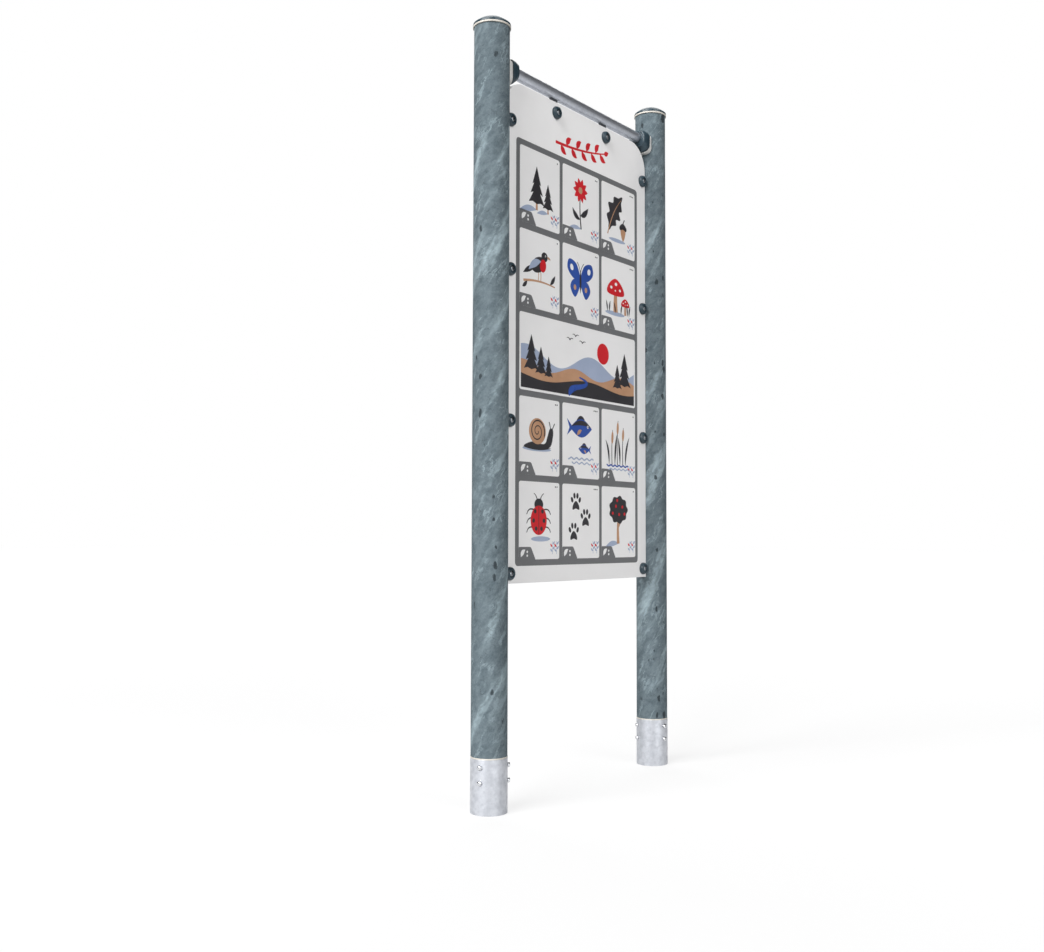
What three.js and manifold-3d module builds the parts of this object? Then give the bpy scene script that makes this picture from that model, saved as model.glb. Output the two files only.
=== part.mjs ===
// A free-standing park interpretation sign: two round composite posts in steel foot sleeves,
// a notice board held between them on hidden steel tongues, and a steel rail across the top.
// Millimetres, +Z up, +X along the board, and the board's printed face looks towards -Y.
// The origin is on the ground, midway between the posts.

import * as THREE from "three";
import { mergeVertices } from "three/addons/utils/BufferGeometryUtils.js";
import Module from "manifold-3d";

const wasm = await Module();
wasm.setup();

// Driving dimensions: posts
const POST_SPACING = 850;
const POST_DIAMETER = 100;
const POST_TOP = 2162;
const POST_END_CHAMFER = 1;

// Driving dimensions: foot sleeves and the rings on them
const FOOT_DIAMETER = 101.6;
const FOOT_WALL = 3.2;
const FOOT_HEIGHT = 147.5;
const FOOT_FLOOR = 8;
const FOOT_EDGE_CHAMFER = 0.8;
const FOOT_RING_HEIGHT = 3.5;
const SPIGOT_LIFT = 4;

// Driving dimensions: button-head screws round each foot
const FOOT_SCREW_TOP_DROP = 20.5;
const FOOT_SCREW_PITCH = 41;
const FOOT_SCREW_ROWS = 2;
const FOOT_SCREW_COLUMNS = 3;
const LEFT_FIRST_COLUMN_DEGREES = 68.5;
const RIGHT_FIRST_COLUMN_DEGREES = 204;
const FOOT_SCREW_HEAD = 14.6;
const FOOT_SCREW_HEAD_RISE = 6;
const FOOT_SCREW_SHANK = 8;
const FOOT_SCREW_LENGTH = 28;
const FOOT_SCREW_KEY = 5;
const FOOT_SCREW_KEY_DEPTH = 3;
const SCREW_SHOULDER_SHARE = 0.5;

// Driving dimensions: post caps
const CAP_OVERHANG = 3.3;
const CAP_RIM = 1.5;
const CAP_RISE = 22;
const CAP_PLUG_DIAMETER = 59.4;
const CAP_PLUG_LENGTH = 45;
const CAP_RING_HEIGHT = 8.5;
const CAP_RING_SKIRT = 4;
const CAP_RING_ROUND = 1;

// Driving dimensions: top rail and its lugs
const RAIL_DROP = 94.5;
const RAIL_DIAMETER = 33.7;
const RAIL_WALL = 2.6;
const RAIL_END_GAP = 0.5;
const LUG_WIDTH = 34;
const LUG_THICKNESS = 6;
const LUG_CORNER = 8;
const LUG_BELOW_BOLT = 20;

// Driving dimensions: moulded rail brackets and their gaskets.
// A rise is how far a form's top stands over the rail's axis.
const BRACKET_WIDTH_SHARE = 0.66;
const BRACKET_HEIGHT = 70;
const BRACKET_RISE = 24;
const BRACKET_CORNER_SHARE = 0.33;
const BRACKET_FLANGE = 5.7;
const BRACKET_NOSE_LENGTH = 18;
const BRACKET_SIDE_DRAFT = 2.5;
const BRACKET_TOP_DRAFT = 2;
const BRACKET_FOOT_DRAFT = 11;
const BRACKET_NOTCH_DIAMETER = 9;
// Each pair: how far along the nose a ring lies, and how much of the draft it has
const BRACKET_NOSE_SHARES = [[0, 0], [0.3, 0.22], [0.85, 0.85], [1, 1.1]];
const GASKET_THICKNESS = 14.6;
const GASKET_WIDTH_SHARE = 0.59;
const GASKET_HEIGHT = 72;
const GASKET_RISE = 21;
const SOCKET_FLOOR = 4.7;
const BRACKET_SCREW_SHANK = 8;
const BRACKET_SCREW_LENGTH = 55;
const BRACKET_SCREW_HEAD = 16;
const BRACKET_SCREW_HEAD_RISE = 5;

// Driving dimensions: notice board
const PANEL_HEIGHT = 1428;
const PANEL_THICKNESS = 19;
const PANEL_TOP_CORNER = 85;
const PANEL_EDGE_ROUND = 1.5;
const PANEL_POST_GAP = 0.5;
const PANEL_RAIL_GAP = 10.65;

// Driving dimensions: through bolts and moulded caps that hold the board
const SIDE_ROWS = 4;
const SIDE_ROW_BOTTOM_INSET = 28;
const SIDE_ROW_TOP_INSET = 119;
const SIDE_BOLT_INSET = 21.5;
const TOP_BOLT_SPREAD = 265;
const TOP_BOLT_DROP = 33.5;
const BOLT_SHANK = 10;
const BOLT_HEAD = 16.6;
const BOLT_HEAD_RISE = 4.6;
const BOLT_KEY = 6;
const BOLT_KEY_DEPTH = 3;
const BOLT_TAIL = 4;
const NUT_ACROSS_FLATS = 17;
const NUT_HEIGHT = 8;
const BOSS_DIAMETER = 38;
const BOSS_RISE = 12.5;
const BOSS_RIM = 2.5;
const BOSS_MOUTH = 19;
const BOSS_SEAT = 6;

// Driving dimensions: steel tongues that stand out of the posts into the board's edge
const TONGUE_THICKNESS = 6;
const TONGUE_HEIGHT = 40;
const TONGUE_PAST_BOLT = 20;
const TONGUE_CORNER = 8;
const STUD_DIAMETER = 12;
const STUD_LENGTH = 45;
const STUD_END_DIAMETER = 4;

// Clearances: beside curved or threaded neighbours, and round a plate in its slot
const CLEARANCE = 0.3;
const BORE_END_GAP = 1;
const OVERRUN = 5;
const MERGE_DISTANCE = 0.001;

// Facets round each kind of round form
const POST_FACETS = 32;
const RAIL_FACETS = 18;
const BOSS_FACETS = 12;
const BOLT_FACETS = 8;
const HOLE_FACETS = 8;
const CORNER_FACETS = 3;
const PANEL_CORNER_FACETS = 8;
const HEX_FACETS = 6;
const DOME_STEPS = 4;
const FLANK_STEPS = 2;

// Finishes by eye
const COMPOSITE = { color: 0x7a8990, roughness: 0.6, metalness: 0 };
const GALVANISED = { color: 0xb4b8c0, roughness: 0.45, metalness: 0.85 };
const STAINLESS = { color: 0xc4c6ca, roughness: 0.3, metalness: 1 };
const SLATE_PLASTIC = { color: 0x2d414b, roughness: 0.45, metalness: 0 };
const BEIGE_PLASTIC = { color: 0xded8cd, roughness: 0.6, metalness: 0 };
const BOARD = { color: 0xd5d6d5, roughness: 0.5, metalness: 0 };

// Sizes worked out from the driving ones
const postRadius = POST_DIAMETER / 2;
const footRadius = FOOT_DIAMETER / 2;
const footBore = footRadius - FOOT_WALL;
const spigotRadius = footBore - CLEARANCE;
const footRingTop = FOOT_HEIGHT + FOOT_RING_HEIGHT;
const railRadius = RAIL_DIAMETER / 2;
const railZ = POST_TOP - RAIL_DROP;
const panelTop = railZ - railRadius - PANEL_RAIL_GAP;
const panelBottom = panelTop - PANEL_HEIGHT;
const panelHalfWidth = POST_SPACING / 2 - postRadius - PANEL_POST_GAP;
const panelFace = PANEL_THICKNESS / 2;
const saddleRadius = postRadius + CLEARANCE + GASKET_THICKNESS;
const bracketSaddle = saddleRadius + CLEARANCE;
const socketFloor = bracketSaddle + SOCKET_FLOOR;
const flangeFront = bracketSaddle + BRACKET_FLANGE;
const noseEnd = flangeFront + BRACKET_NOSE_LENGTH;
const bracketWidth = BRACKET_WIDTH_SHARE * POST_DIAMETER;
const bracketCorner = BRACKET_CORNER_SHARE * bracketWidth;
const gasketWidth = GASKET_WIDTH_SHARE * POST_DIAMETER;
const gasketCorner = BRACKET_CORNER_SHARE * gasketWidth;
const capRadius = postRadius + CAP_OVERHANG;
const plugRadius = CAP_PLUG_DIAMETER / 2;
const plugBore = plugRadius + CLEARANCE;
const capSeat = POST_TOP + CAP_RING_HEIGHT - CAP_RING_SKIRT;
const boltHole = BOLT_SHANK / 2 + CLEARANCE;
const sideRowPitch = (PANEL_HEIGHT - SIDE_ROW_BOTTOM_INSET - SIDE_ROW_TOP_INSET) / (SIDE_ROWS - 1);
const sideRows = Array.from({ length: SIDE_ROWS }, (_, row) =>
  panelBottom + SIDE_ROW_BOTTOM_INSET + row * sideRowPitch);
const sideBoltX = panelHalfWidth - SIDE_BOLT_INSET;
const topBoltZ = panelTop - TOP_BOLT_DROP;
const topBoltX = TOP_BOLT_SPREAD / 2;
const QUARTER_TURN = Math.PI / 2;

// A three.js geometry as a closed solid that can be joined and cut
function solid(geometry) {
  const bare = geometry.clone();
  bare.deleteAttribute("normal");
  bare.deleteAttribute("uv");
  const merged = mergeVertices(bare, MERGE_DISTANCE);
  return new wasm.Manifold(new wasm.Mesh({
    numProp: 3,
    vertProperties: merged.attributes.position.array,
    triVerts: new Uint32Array(merged.index.array),
  }));
}

// A solid back as a geometry
function shaped(body) {
  const mesh = body.getMesh();
  const geometry = new THREE.BufferGeometry();
  geometry.setAttribute("position", new THREE.BufferAttribute(mesh.vertProperties, 3));
  geometry.setIndex(new THREE.BufferAttribute(mesh.triVerts, 1));
  return geometry;
}

// A profile of [radius, height] points turned round the Z axis
function turned(profile, facets) {
  const points = profile.map(([radius, height]) => new THREE.Vector2(radius, height));
  return new THREE.LatheGeometry(points, facets).rotateX(QUARTER_TURN);
}

// A round rod along +Z, from its foot to its head
function rod(radius, foot, head, facets) {
  return turned([[0, foot], [radius, foot], [radius, head], [0, head]], facets);
}

// A rod along +X, for holes and studs that run towards the board
function rodAlongX(radius, start, end, facets) {
  return rod(radius, start, end, facets).rotateY(QUARTER_TURN);
}

// A hexagonal bar along +Z, its flats a given distance apart
function hexBar(acrossFlats, foot, head) {
  const cornerRadius = acrossFlats / 2 / Math.cos(Math.PI / HEX_FACETS);
  return rod(cornerRadius, foot, head, HEX_FACETS);
}

// A rectangle with round corners, as a three.js shape centred on the origin
function roundedRectangle(width, height, corner) {
  const [x, y] = [width / 2, height / 2];
  const shape = new THREE.Shape();
  shape.absarc(x - corner, y - corner, corner, 0, QUARTER_TURN);
  shape.absarc(corner - x, y - corner, corner, QUARTER_TURN, 2 * QUARTER_TURN);
  shape.absarc(corner - x, corner - y, corner, 2 * QUARTER_TURN, 3 * QUARTER_TURN);
  shape.absarc(x - corner, corner - y, corner, 3 * QUARTER_TURN, 4 * QUARTER_TURN);
  return shape;
}

// A flat plate in the XZ plane, its thickness centred on the origin plane
function plate(width, height, corner, thickness) {
  return new THREE.ExtrudeGeometry(roundedRectangle(width, height, corner), {
    depth: thickness,
    bevelEnabled: false,
    curveSegments: CORNER_FACETS,
  }).translate(0, 0, -thickness / 2).rotateX(QUARTER_TURN);
}

// A closed body through rings of points that run round +X the same way, with flat ends
function lofted(rings) {
  const count = rings[0].length;
  const last = (rings.length - 1) * count;
  const index = [];
  for (let start = 0; start < last; start += count) {
    for (let i = 0; i < count; i++) {
      const [a, b] = [start + i, start + (i + 1) % count];
      index.push(a, b, b + count, a, b + count, a + count);
    }
  }
  for (let i = 1; i < count - 1; i++) {
    index.push(0, i + 1, i, last, last + i, last + i + 1);
  }
  const positions = rings.flat().flatMap((point) => point.toArray());
  const geometry = new THREE.BufferGeometry();
  geometry.setAttribute("position", new THREE.Float32BufferAttribute(positions, 3));
  geometry.setIndex(index);
  return geometry;
}

// One ring of a loft: a round-cornered rectangle in the YZ plane at x, its top at a given height
function ringAt(x, width, height, corner, top) {
  const outline = roundedRectangle(width, height, corner).getPoints(CORNER_FACETS).slice(0, -1);
  return outline.map((point) => new THREE.Vector3(x, point.x, point.y + top - height / 2));
}

// One named piece of the sign
function piece(name, geometry, finish, parent) {
  const mesh = new THREE.Mesh(geometry, new THREE.MeshStandardMaterial(finish));
  mesh.name = name;
  parent.add(mesh);
  return mesh;
}

// Where each foot screw sits round a post, as a height and an angle in the post's own frame
function footScrewPlaces(firstColumnDegrees) {
  const places = [];
  for (let column = 0; column < FOOT_SCREW_COLUMNS; column++) {
    const turn = THREE.MathUtils.degToRad(firstColumnDegrees) + column * 2 * Math.PI / FOOT_SCREW_COLUMNS;
    for (let row = 0; row < FOOT_SCREW_ROWS; row++) {
      places.push([FOOT_HEIGHT - FOOT_SCREW_TOP_DROP - row * FOOT_SCREW_PITCH, turn]);
    }
  }
  return places;
}

// Holes for the foot screws, drilled in from outside the sleeve to a given depth
function footScrewHoles(places, depth) {
  const outside = footRadius + OVERRUN;
  return places.map(([height, turn]) =>
    solid(rodAlongX(FOOT_SCREW_SHANK / 2 + CLEARANCE, footRadius - depth, outside, HOLE_FACETS)
      .rotateZ(turn).translate(0, 0, height)));
}

// Post: a solid bar turned down at its foot, bored for the cap plug and drilled for its fixings
function post(places) {
  const boreFloor = capSeat - CAP_PLUG_LENGTH - BORE_END_GAP;
  const spigotFoot = FOOT_FLOOR + SPIGOT_LIFT;
  let body = solid(turned([
    [0, spigotFoot],
    [spigotRadius - POST_END_CHAMFER, spigotFoot],
    [spigotRadius, spigotFoot + POST_END_CHAMFER],
    [spigotRadius, footRingTop],
    [postRadius, footRingTop],
    [postRadius, POST_TOP - POST_END_CHAMFER],
    [postRadius - POST_END_CHAMFER, POST_TOP],
    [plugBore, POST_TOP],
    [plugBore, boreFloor],
    [0, boreFloor],
  ], POST_FACETS));
  for (const hole of footScrewHoles(places, FOOT_SCREW_LENGTH + BORE_END_GAP)) {
    body = body.subtract(hole);
  }
  const studEnd = postRadius + PANEL_POST_GAP - STUD_LENGTH - BORE_END_GAP;
  for (const height of sideRows) {
    body = body.subtract(solid(
      rodAlongX(STUD_DIAMETER / 2 + CLEARANCE, studEnd, postRadius + OVERRUN, HOLE_FACETS)
        .translate(0, 0, height)));
  }
  const screwEnd = socketFloor - BRACKET_SCREW_LENGTH - BORE_END_GAP;
  body = body.subtract(solid(
    rodAlongX(BRACKET_SCREW_SHANK / 2 + CLEARANCE, screwEnd, postRadius + OVERRUN, HOLE_FACETS)
      .translate(0, 0, railZ)));
  return shaped(body);
}

// Foot: a steel sleeve with a welded floor, drilled through for its screws
function foot(places) {
  let body = solid(turned([
    [0, 0],
    [footRadius - FOOT_EDGE_CHAMFER, 0],
    [footRadius, FOOT_EDGE_CHAMFER],
    [footRadius, FOOT_HEIGHT - FOOT_EDGE_CHAMFER],
    [footRadius - FOOT_EDGE_CHAMFER, FOOT_HEIGHT],
    [footBore, FOOT_HEIGHT],
    [footBore, FOOT_FLOOR],
    [0, FOOT_FLOOR],
  ], POST_FACETS));
  for (const hole of footScrewHoles(places, FOOT_WALL + OVERRUN)) {
    body = body.subtract(hole);
  }
  return shaped(body);
}

// Ring that closes the joint between a foot sleeve and the post's shoulder
function footRing() {
  return turned([
    [footBore, FOOT_HEIGHT],
    [footRadius, FOOT_HEIGHT],
    [footRadius, footRingTop],
    [footBore, footRingTop],
    [footBore, FOOT_HEIGHT],
  ], POST_FACETS);
}

// Button-head screw along +Z, its underside at the origin, with a hexagonal key recess
function footScrew() {
  const head = FOOT_SCREW_HEAD / 2;
  const shank = FOOT_SCREW_SHANK / 2;
  const body = solid(turned([
    [0, -FOOT_SCREW_LENGTH],
    [shank, -FOOT_SCREW_LENGTH],
    [shank, 0],
    [head, 0],
    [head, SCREW_SHOULDER_SHARE * FOOT_SCREW_HEAD_RISE],
    [SCREW_SHOULDER_SHARE * head, FOOT_SCREW_HEAD_RISE],
    [0, FOOT_SCREW_HEAD_RISE],
  ], BOLT_FACETS));
  const key = hexBar(FOOT_SCREW_KEY, FOOT_SCREW_HEAD_RISE - FOOT_SCREW_KEY_DEPTH,
    FOOT_SCREW_HEAD_RISE + OVERRUN);
  return shaped(body.subtract(solid(key)));
}

// Cap: a shallow dome with a thin upright rim, and a plug that drops into the post's bore
function cap() {
  const rimTop = capSeat + CAP_RIM;
  const ballRadius = (capRadius ** 2 + CAP_RISE ** 2) / (2 * CAP_RISE);
  const widest = Math.asin(capRadius / ballRadius);
  const dome = Array.from({ length: DOME_STEPS }, (_, step) => {
    const lean = widest * (1 - (step + 1) / DOME_STEPS);
    return [ballRadius * Math.sin(lean), rimTop + CAP_RISE - ballRadius * (1 - Math.cos(lean))];
  });
  return turned([
    [0, capSeat - CAP_PLUG_LENGTH],
    [plugRadius, capSeat - CAP_PLUG_LENGTH],
    [plugRadius, capSeat],
    [capRadius, capSeat],
    [capRadius, rimTop],
    ...dome,
  ], POST_FACETS);
}

// Ring under a cap: it lies on the post's end, and its skirt hangs round the post
function capRing() {
  const skirtFoot = POST_TOP - CAP_RING_SKIRT;
  const skirtBore = postRadius + CLEARANCE;
  return turned([
    [plugBore, POST_TOP],
    [skirtBore, POST_TOP],
    [skirtBore, skirtFoot],
    [capRadius - CAP_RING_ROUND, skirtFoot],
    [capRadius, skirtFoot + CAP_RING_ROUND],
    [capRadius, capSeat],
    [plugBore, capSeat],
    [plugBore, POST_TOP],
  ], POST_FACETS);
}

// A hole along +X through a bracket or gasket for the screw that holds it to the post
function bracketScrewHole() {
  return solid(rodAlongX(BRACKET_SCREW_SHANK / 2 + CLEARANCE, 0, noseEnd, HOLE_FACETS));
}

// Gasket: a saddle pad between the round post and the bracket, which shows under the bracket
function railGasket() {
  const pad = solid(lofted([
    ringAt(0, gasketWidth, GASKET_HEIGHT, gasketCorner, GASKET_RISE),
    ringAt(noseEnd, gasketWidth, GASKET_HEIGHT, gasketCorner, GASKET_RISE),
  ]));
  const tall = GASKET_HEIGHT + OVERRUN;
  const outer = solid(rod(saddleRadius, -tall, tall, POST_FACETS));
  const inner = solid(rod(postRadius + CLEARANCE, -tall, tall, POST_FACETS));
  return shaped(pad.intersect(outer).subtract(inner).subtract(bracketScrewHole()));
}

// Bracket: a moulded saddle block that narrows from its flange to a nose with the rail's socket,
// most of all underneath, and has a drain notch under its flange
function railBracket() {
  const rings = BRACKET_NOSE_SHARES.map(([along, draft]) => {
    const width = bracketWidth - 2 * draft * BRACKET_SIDE_DRAFT;
    const height = BRACKET_HEIGHT - draft * (BRACKET_TOP_DRAFT + BRACKET_FOOT_DRAFT);
    const corner = BRACKET_CORNER_SHARE * width;
    const top = BRACKET_RISE - draft * BRACKET_TOP_DRAFT;
    return ringAt(flangeFront + along * BRACKET_NOSE_LENGTH, width, height, corner, top);
  });
  rings.unshift(ringAt(0, bracketWidth, BRACKET_HEIGHT, bracketCorner, BRACKET_RISE));
  const tall = BRACKET_HEIGHT + OVERRUN;
  const saddle = solid(rod(bracketSaddle, -tall, tall, POST_FACETS));
  const socket = solid(rodAlongX(railRadius + CLEARANCE, socketFloor, noseEnd + OVERRUN, RAIL_FACETS));
  const notch = solid(rodAlongX(BRACKET_NOTCH_DIAMETER / 2, 0, noseEnd, HOLE_FACETS)
    .translate(0, 0, BRACKET_RISE - BRACKET_HEIGHT));
  return shaped(solid(lofted(rings)).subtract(saddle).subtract(socket).subtract(notch)
    .subtract(bracketScrewHole()));
}

// Screw that holds a bracket: its pan head lies on the socket's floor, inside the rail
function bracketScrew() {
  const [head, shank] = [BRACKET_SCREW_HEAD / 2, BRACKET_SCREW_SHANK / 2];
  return turned([
    [0, -BRACKET_SCREW_LENGTH],
    [shank, -BRACKET_SCREW_LENGTH],
    [shank, 0],
    [head, 0],
    [head, SCREW_SHOULDER_SHARE * BRACKET_SCREW_HEAD_RISE],
    [SCREW_SHOULDER_SHARE * head, BRACKET_SCREW_HEAD_RISE],
    [0, BRACKET_SCREW_HEAD_RISE],
  ], BOLT_FACETS).rotateY(QUARTER_TURN);
}

// Rail: a steel tube between the two sockets, with two flat lugs welded under it
function topRail() {
  const bore = railRadius - RAIL_WALL;
  const half = POST_SPACING / 2 - socketFloor - RAIL_END_GAP;
  let body = solid(turned([
    [bore, -half],
    [railRadius, -half],
    [railRadius, half],
    [bore, half],
    [bore, -half],
  ], RAIL_FACETS).rotateY(QUARTER_TURN));
  const lugTop = -railRadius + RAIL_WALL / 2;
  const lugFoot = topBoltZ - LUG_BELOW_BOLT - railZ;
  const lugHeight = lugTop - lugFoot + LUG_CORNER;
  for (const side of [-1, 1]) {
    const lug = solid(plate(LUG_WIDTH, lugHeight, LUG_CORNER, LUG_THICKNESS)
      .translate(side * topBoltX, 0, lugFoot + lugHeight / 2));
    const inside = solid(rodAlongX(bore + RAIL_WALL / 2, -half, half, RAIL_FACETS));
    const hole = solid(rod(boltHole, -LUG_THICKNESS, LUG_THICKNESS, HOLE_FACETS)
      .rotateX(QUARTER_TURN).translate(side * topBoltX, 0, topBoltZ - railZ));
    body = body.add(lug.subtract(inside).subtract(hole));
  }
  return shaped(body);
}

// Board: round top corners, bolt holes, and slots in its edges for the tongues and lugs
function board() {
  const round = PANEL_EDGE_ROUND;
  const outline = new THREE.Shape();
  const cornerZ = panelTop - PANEL_TOP_CORNER;
  const cornerX = panelHalfWidth - PANEL_TOP_CORNER;
  outline.moveTo(panelHalfWidth, panelBottom);
  outline.lineTo(panelHalfWidth, cornerZ);
  outline.absarc(cornerX, cornerZ, PANEL_TOP_CORNER, 0, QUARTER_TURN);
  outline.absarc(-cornerX, cornerZ, PANEL_TOP_CORNER, QUARTER_TURN, 2 * QUARTER_TURN);
  outline.lineTo(-panelHalfWidth, panelBottom);
  let body = solid(new THREE.ExtrudeGeometry(outline, {
    depth: PANEL_THICKNESS - 2 * round,
    bevelEnabled: true,
    bevelThickness: round,
    bevelSize: round,
    bevelOffset: -round,
    bevelSegments: 1,
    curveSegments: PANEL_CORNER_FACETS,
  }).translate(0, 0, round - panelFace).rotateX(QUARTER_TURN));
  const drill = (x, z) => solid(rod(boltHole, -panelFace - OVERRUN, panelFace + OVERRUN, HOLE_FACETS)
    .rotateX(QUARTER_TURN).translate(x, 0, z));
  const slotReach = SIDE_BOLT_INSET + TONGUE_PAST_BOLT + CLEARANCE + OVERRUN;
  const sideSlot = () => new THREE.BoxGeometry(slotReach,
    TONGUE_THICKNESS + 2 * CLEARANCE, TONGUE_HEIGHT + 2 * CLEARANCE);
  const sideSlotX = panelHalfWidth + OVERRUN - slotReach / 2;
  const topReach = TOP_BOLT_DROP + LUG_BELOW_BOLT + CLEARANCE + OVERRUN;
  const topSlot = () => new THREE.BoxGeometry(LUG_WIDTH + 2 * CLEARANCE,
    LUG_THICKNESS + 2 * CLEARANCE, topReach);
  for (const side of [-1, 1]) {
    for (const height of sideRows) {
      body = body.subtract(drill(side * sideBoltX, height));
      body = body.subtract(solid(sideSlot().translate(side * sideSlotX, 0, height)));
    }
    body = body.subtract(drill(side * topBoltX, topBoltZ));
    body = body.subtract(solid(topSlot()
      .translate(side * topBoltX, 0, panelTop + OVERRUN - topReach / 2)));
  }
  return shaped(body);
}

// Tongue: a flat plate in the board's edge, on a stud that goes into the post along X.
// The stud's end is turned down to the plate's thickness where it runs into the plate.
function sideTongue() {
  const root = postRadius + PANEL_POST_GAP - CLEARANCE;
  const tip = postRadius + PANEL_POST_GAP + SIDE_BOLT_INSET + TONGUE_PAST_BOLT;
  const reach = tip - root;
  const blade = solid(plate(reach, TONGUE_HEIGHT, TONGUE_CORNER, TONGUE_THICKNESS)
    .translate(root + reach / 2, 0, 0));
  const stud = solid(turned([
    [0, root - STUD_LENGTH],
    [STUD_DIAMETER / 2, root - STUD_LENGTH],
    [STUD_DIAMETER / 2, root],
    [STUD_END_DIAMETER / 2, root],
    [STUD_END_DIAMETER / 2, root + TONGUE_CORNER],
    [0, root + TONGUE_CORNER],
  ], HOLE_FACETS).rotateY(QUARTER_TURN));
  const hole = solid(rod(boltHole, -TONGUE_THICKNESS, TONGUE_THICKNESS, HOLE_FACETS)
    .rotateX(QUARTER_TURN).translate(postRadius + PANEL_POST_GAP + SIDE_BOLT_INSET, 0, 0));
  return shaped(blade.add(stud).subtract(hole));
}

// Moulded cap under a bolt head, along +Z from the board's face, with a sunk seat for the head
function fastenerCap() {
  const [rim, mouth] = [BOSS_DIAMETER / 2, BOSS_MOUTH / 2];
  const lip = mouth + BOSS_RIM;
  const flank = Array.from({ length: FLANK_STEPS }, (_, step) => {
    const turn = QUARTER_TURN * (step + 1) / FLANK_STEPS;
    return [lip + (rim - lip) * Math.cos(turn), BOSS_RIM + (BOSS_RISE - BOSS_RIM) * Math.sin(turn)];
  });
  return turned([
    [boltHole, 0],
    [rim, 0],
    [rim, BOSS_RIM],
    ...flank,
    [mouth, BOSS_SEAT],
    [boltHole, BOSS_SEAT],
    [boltHole, 0],
  ], BOSS_FACETS);
}

// Through bolt along +Z from the board's face, with its nut on the far side
function panelBolt() {
  const [head, shank] = [BOLT_HEAD / 2, BOLT_SHANK / 2];
  const nutEnd = -PANEL_THICKNESS - NUT_HEIGHT;
  const headTop = BOSS_SEAT + BOLT_HEAD_RISE;
  const body = solid(turned([
    [0, nutEnd - BOLT_TAIL],
    [shank, nutEnd - BOLT_TAIL],
    [shank, BOSS_SEAT],
    [head, BOSS_SEAT],
    [head, BOSS_SEAT + SCREW_SHOULDER_SHARE * BOLT_HEAD_RISE],
    [SCREW_SHOULDER_SHARE * head, headTop],
    [0, headTop],
  ], BOLT_FACETS));
  const nut = hexBar(NUT_ACROSS_FLATS, nutEnd, -PANEL_THICKNESS);
  const key = hexBar(BOLT_KEY, headTop - BOLT_KEY_DEPTH, headTop + OVERRUN);
  return shaped(body.add(solid(nut)).subtract(solid(key)));
}

// One post with everything fixed to it. Its own +X looks along the board to the middle of the sign.
function postAssembly(side, facing, firstColumnDegrees) {
  const group = new THREE.Group();
  group.position.x = facing * -POST_SPACING / 2;
  group.rotation.z = facing > 0 ? 0 : Math.PI;
  const places = footScrewPlaces(firstColumnDegrees);
  piece(`${side}_post`, post(places), COMPOSITE, group);
  piece(`${side}_foot`, foot(places), GALVANISED, group);
  piece(`${side}_foot_ring`, footRing(), BEIGE_PLASTIC, group);
  piece(`${side}_cap_ring`, capRing(), BEIGE_PLASTIC, group);
  piece(`${side}_cap`, cap(), SLATE_PLASTIC, group);
  places.forEach(([height, turn], count) => {
    const turnedGroup = new THREE.Group();
    turnedGroup.rotation.z = turn;
    turnedGroup.position.z = height;
    group.add(turnedGroup);
    const screw = piece(`${side}_foot_screw_${count + 1}`, footScrew(), STAINLESS, turnedGroup);
    screw.rotation.y = QUARTER_TURN;
    screw.position.x = footRadius + CLEARANCE;
  });
  const railPieces = [
    [`${side}_rail_gasket`, railGasket(), BEIGE_PLASTIC, 0],
    [`${side}_rail_bracket`, railBracket(), SLATE_PLASTIC, 0],
    [`${side}_bracket_screw`, bracketScrew(), STAINLESS, socketFloor],
  ];
  for (const [name, geometry, finish, x] of railPieces) {
    piece(name, geometry, finish, group).position.set(x, 0, railZ);
  }
  sideRows.forEach((height, row) => {
    piece(`${side}_tongue_${row + 1}`, sideTongue(), GALVANISED, group).position.z = height;
  });
  return group;
}

// A bolt and its moulded cap, looking out of the board's printed face
function panelFixing(name, x, z) {
  const group = new THREE.Group();
  group.position.set(x, -panelFace, z);
  group.rotation.x = QUARTER_TURN;
  piece(`${name}_fastener_cap`, fastenerCap(), SLATE_PLASTIC, group);
  piece(`${name}_bolt`, panelBolt(), STAINLESS, group);
  return group;
}

const sign = new THREE.Group();
sign.name = "park_interpretation_sign";
sign.add(postAssembly("left", 1, LEFT_FIRST_COLUMN_DEGREES));
sign.add(postAssembly("right", -1, RIGHT_FIRST_COLUMN_DEGREES));
piece("top_rail", topRail(), GALVANISED, sign).position.z = railZ;
piece("board", board(), BOARD, sign);
for (const [side, facing] of [["left", -1], ["right", 1]]) {
  sideRows.forEach((height, row) => {
    sign.add(panelFixing(`${side}_side_${row + 1}`, facing * sideBoltX, height));
  });
  sign.add(panelFixing(`${side}_top`, facing * topBoltX, topBoltZ));
}

export default sign;
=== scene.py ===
# %% [markdown]
# # Park interpretation sign
#
# The sign stands in a park: two round posts of marbled composite, each in a galvanised steel foot, a
# printed board between them, and a galvanised tube across the top in two moulded brackets. This script
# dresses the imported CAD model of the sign. Every piece is worked out with numpy as a surface, so that its
# round forms are truly round, and every finish is made from shader nodes.

# %% Load the frame
import math

import bmesh
import bpy
import numpy as np
from mathutils import Matrix, Vector


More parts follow.
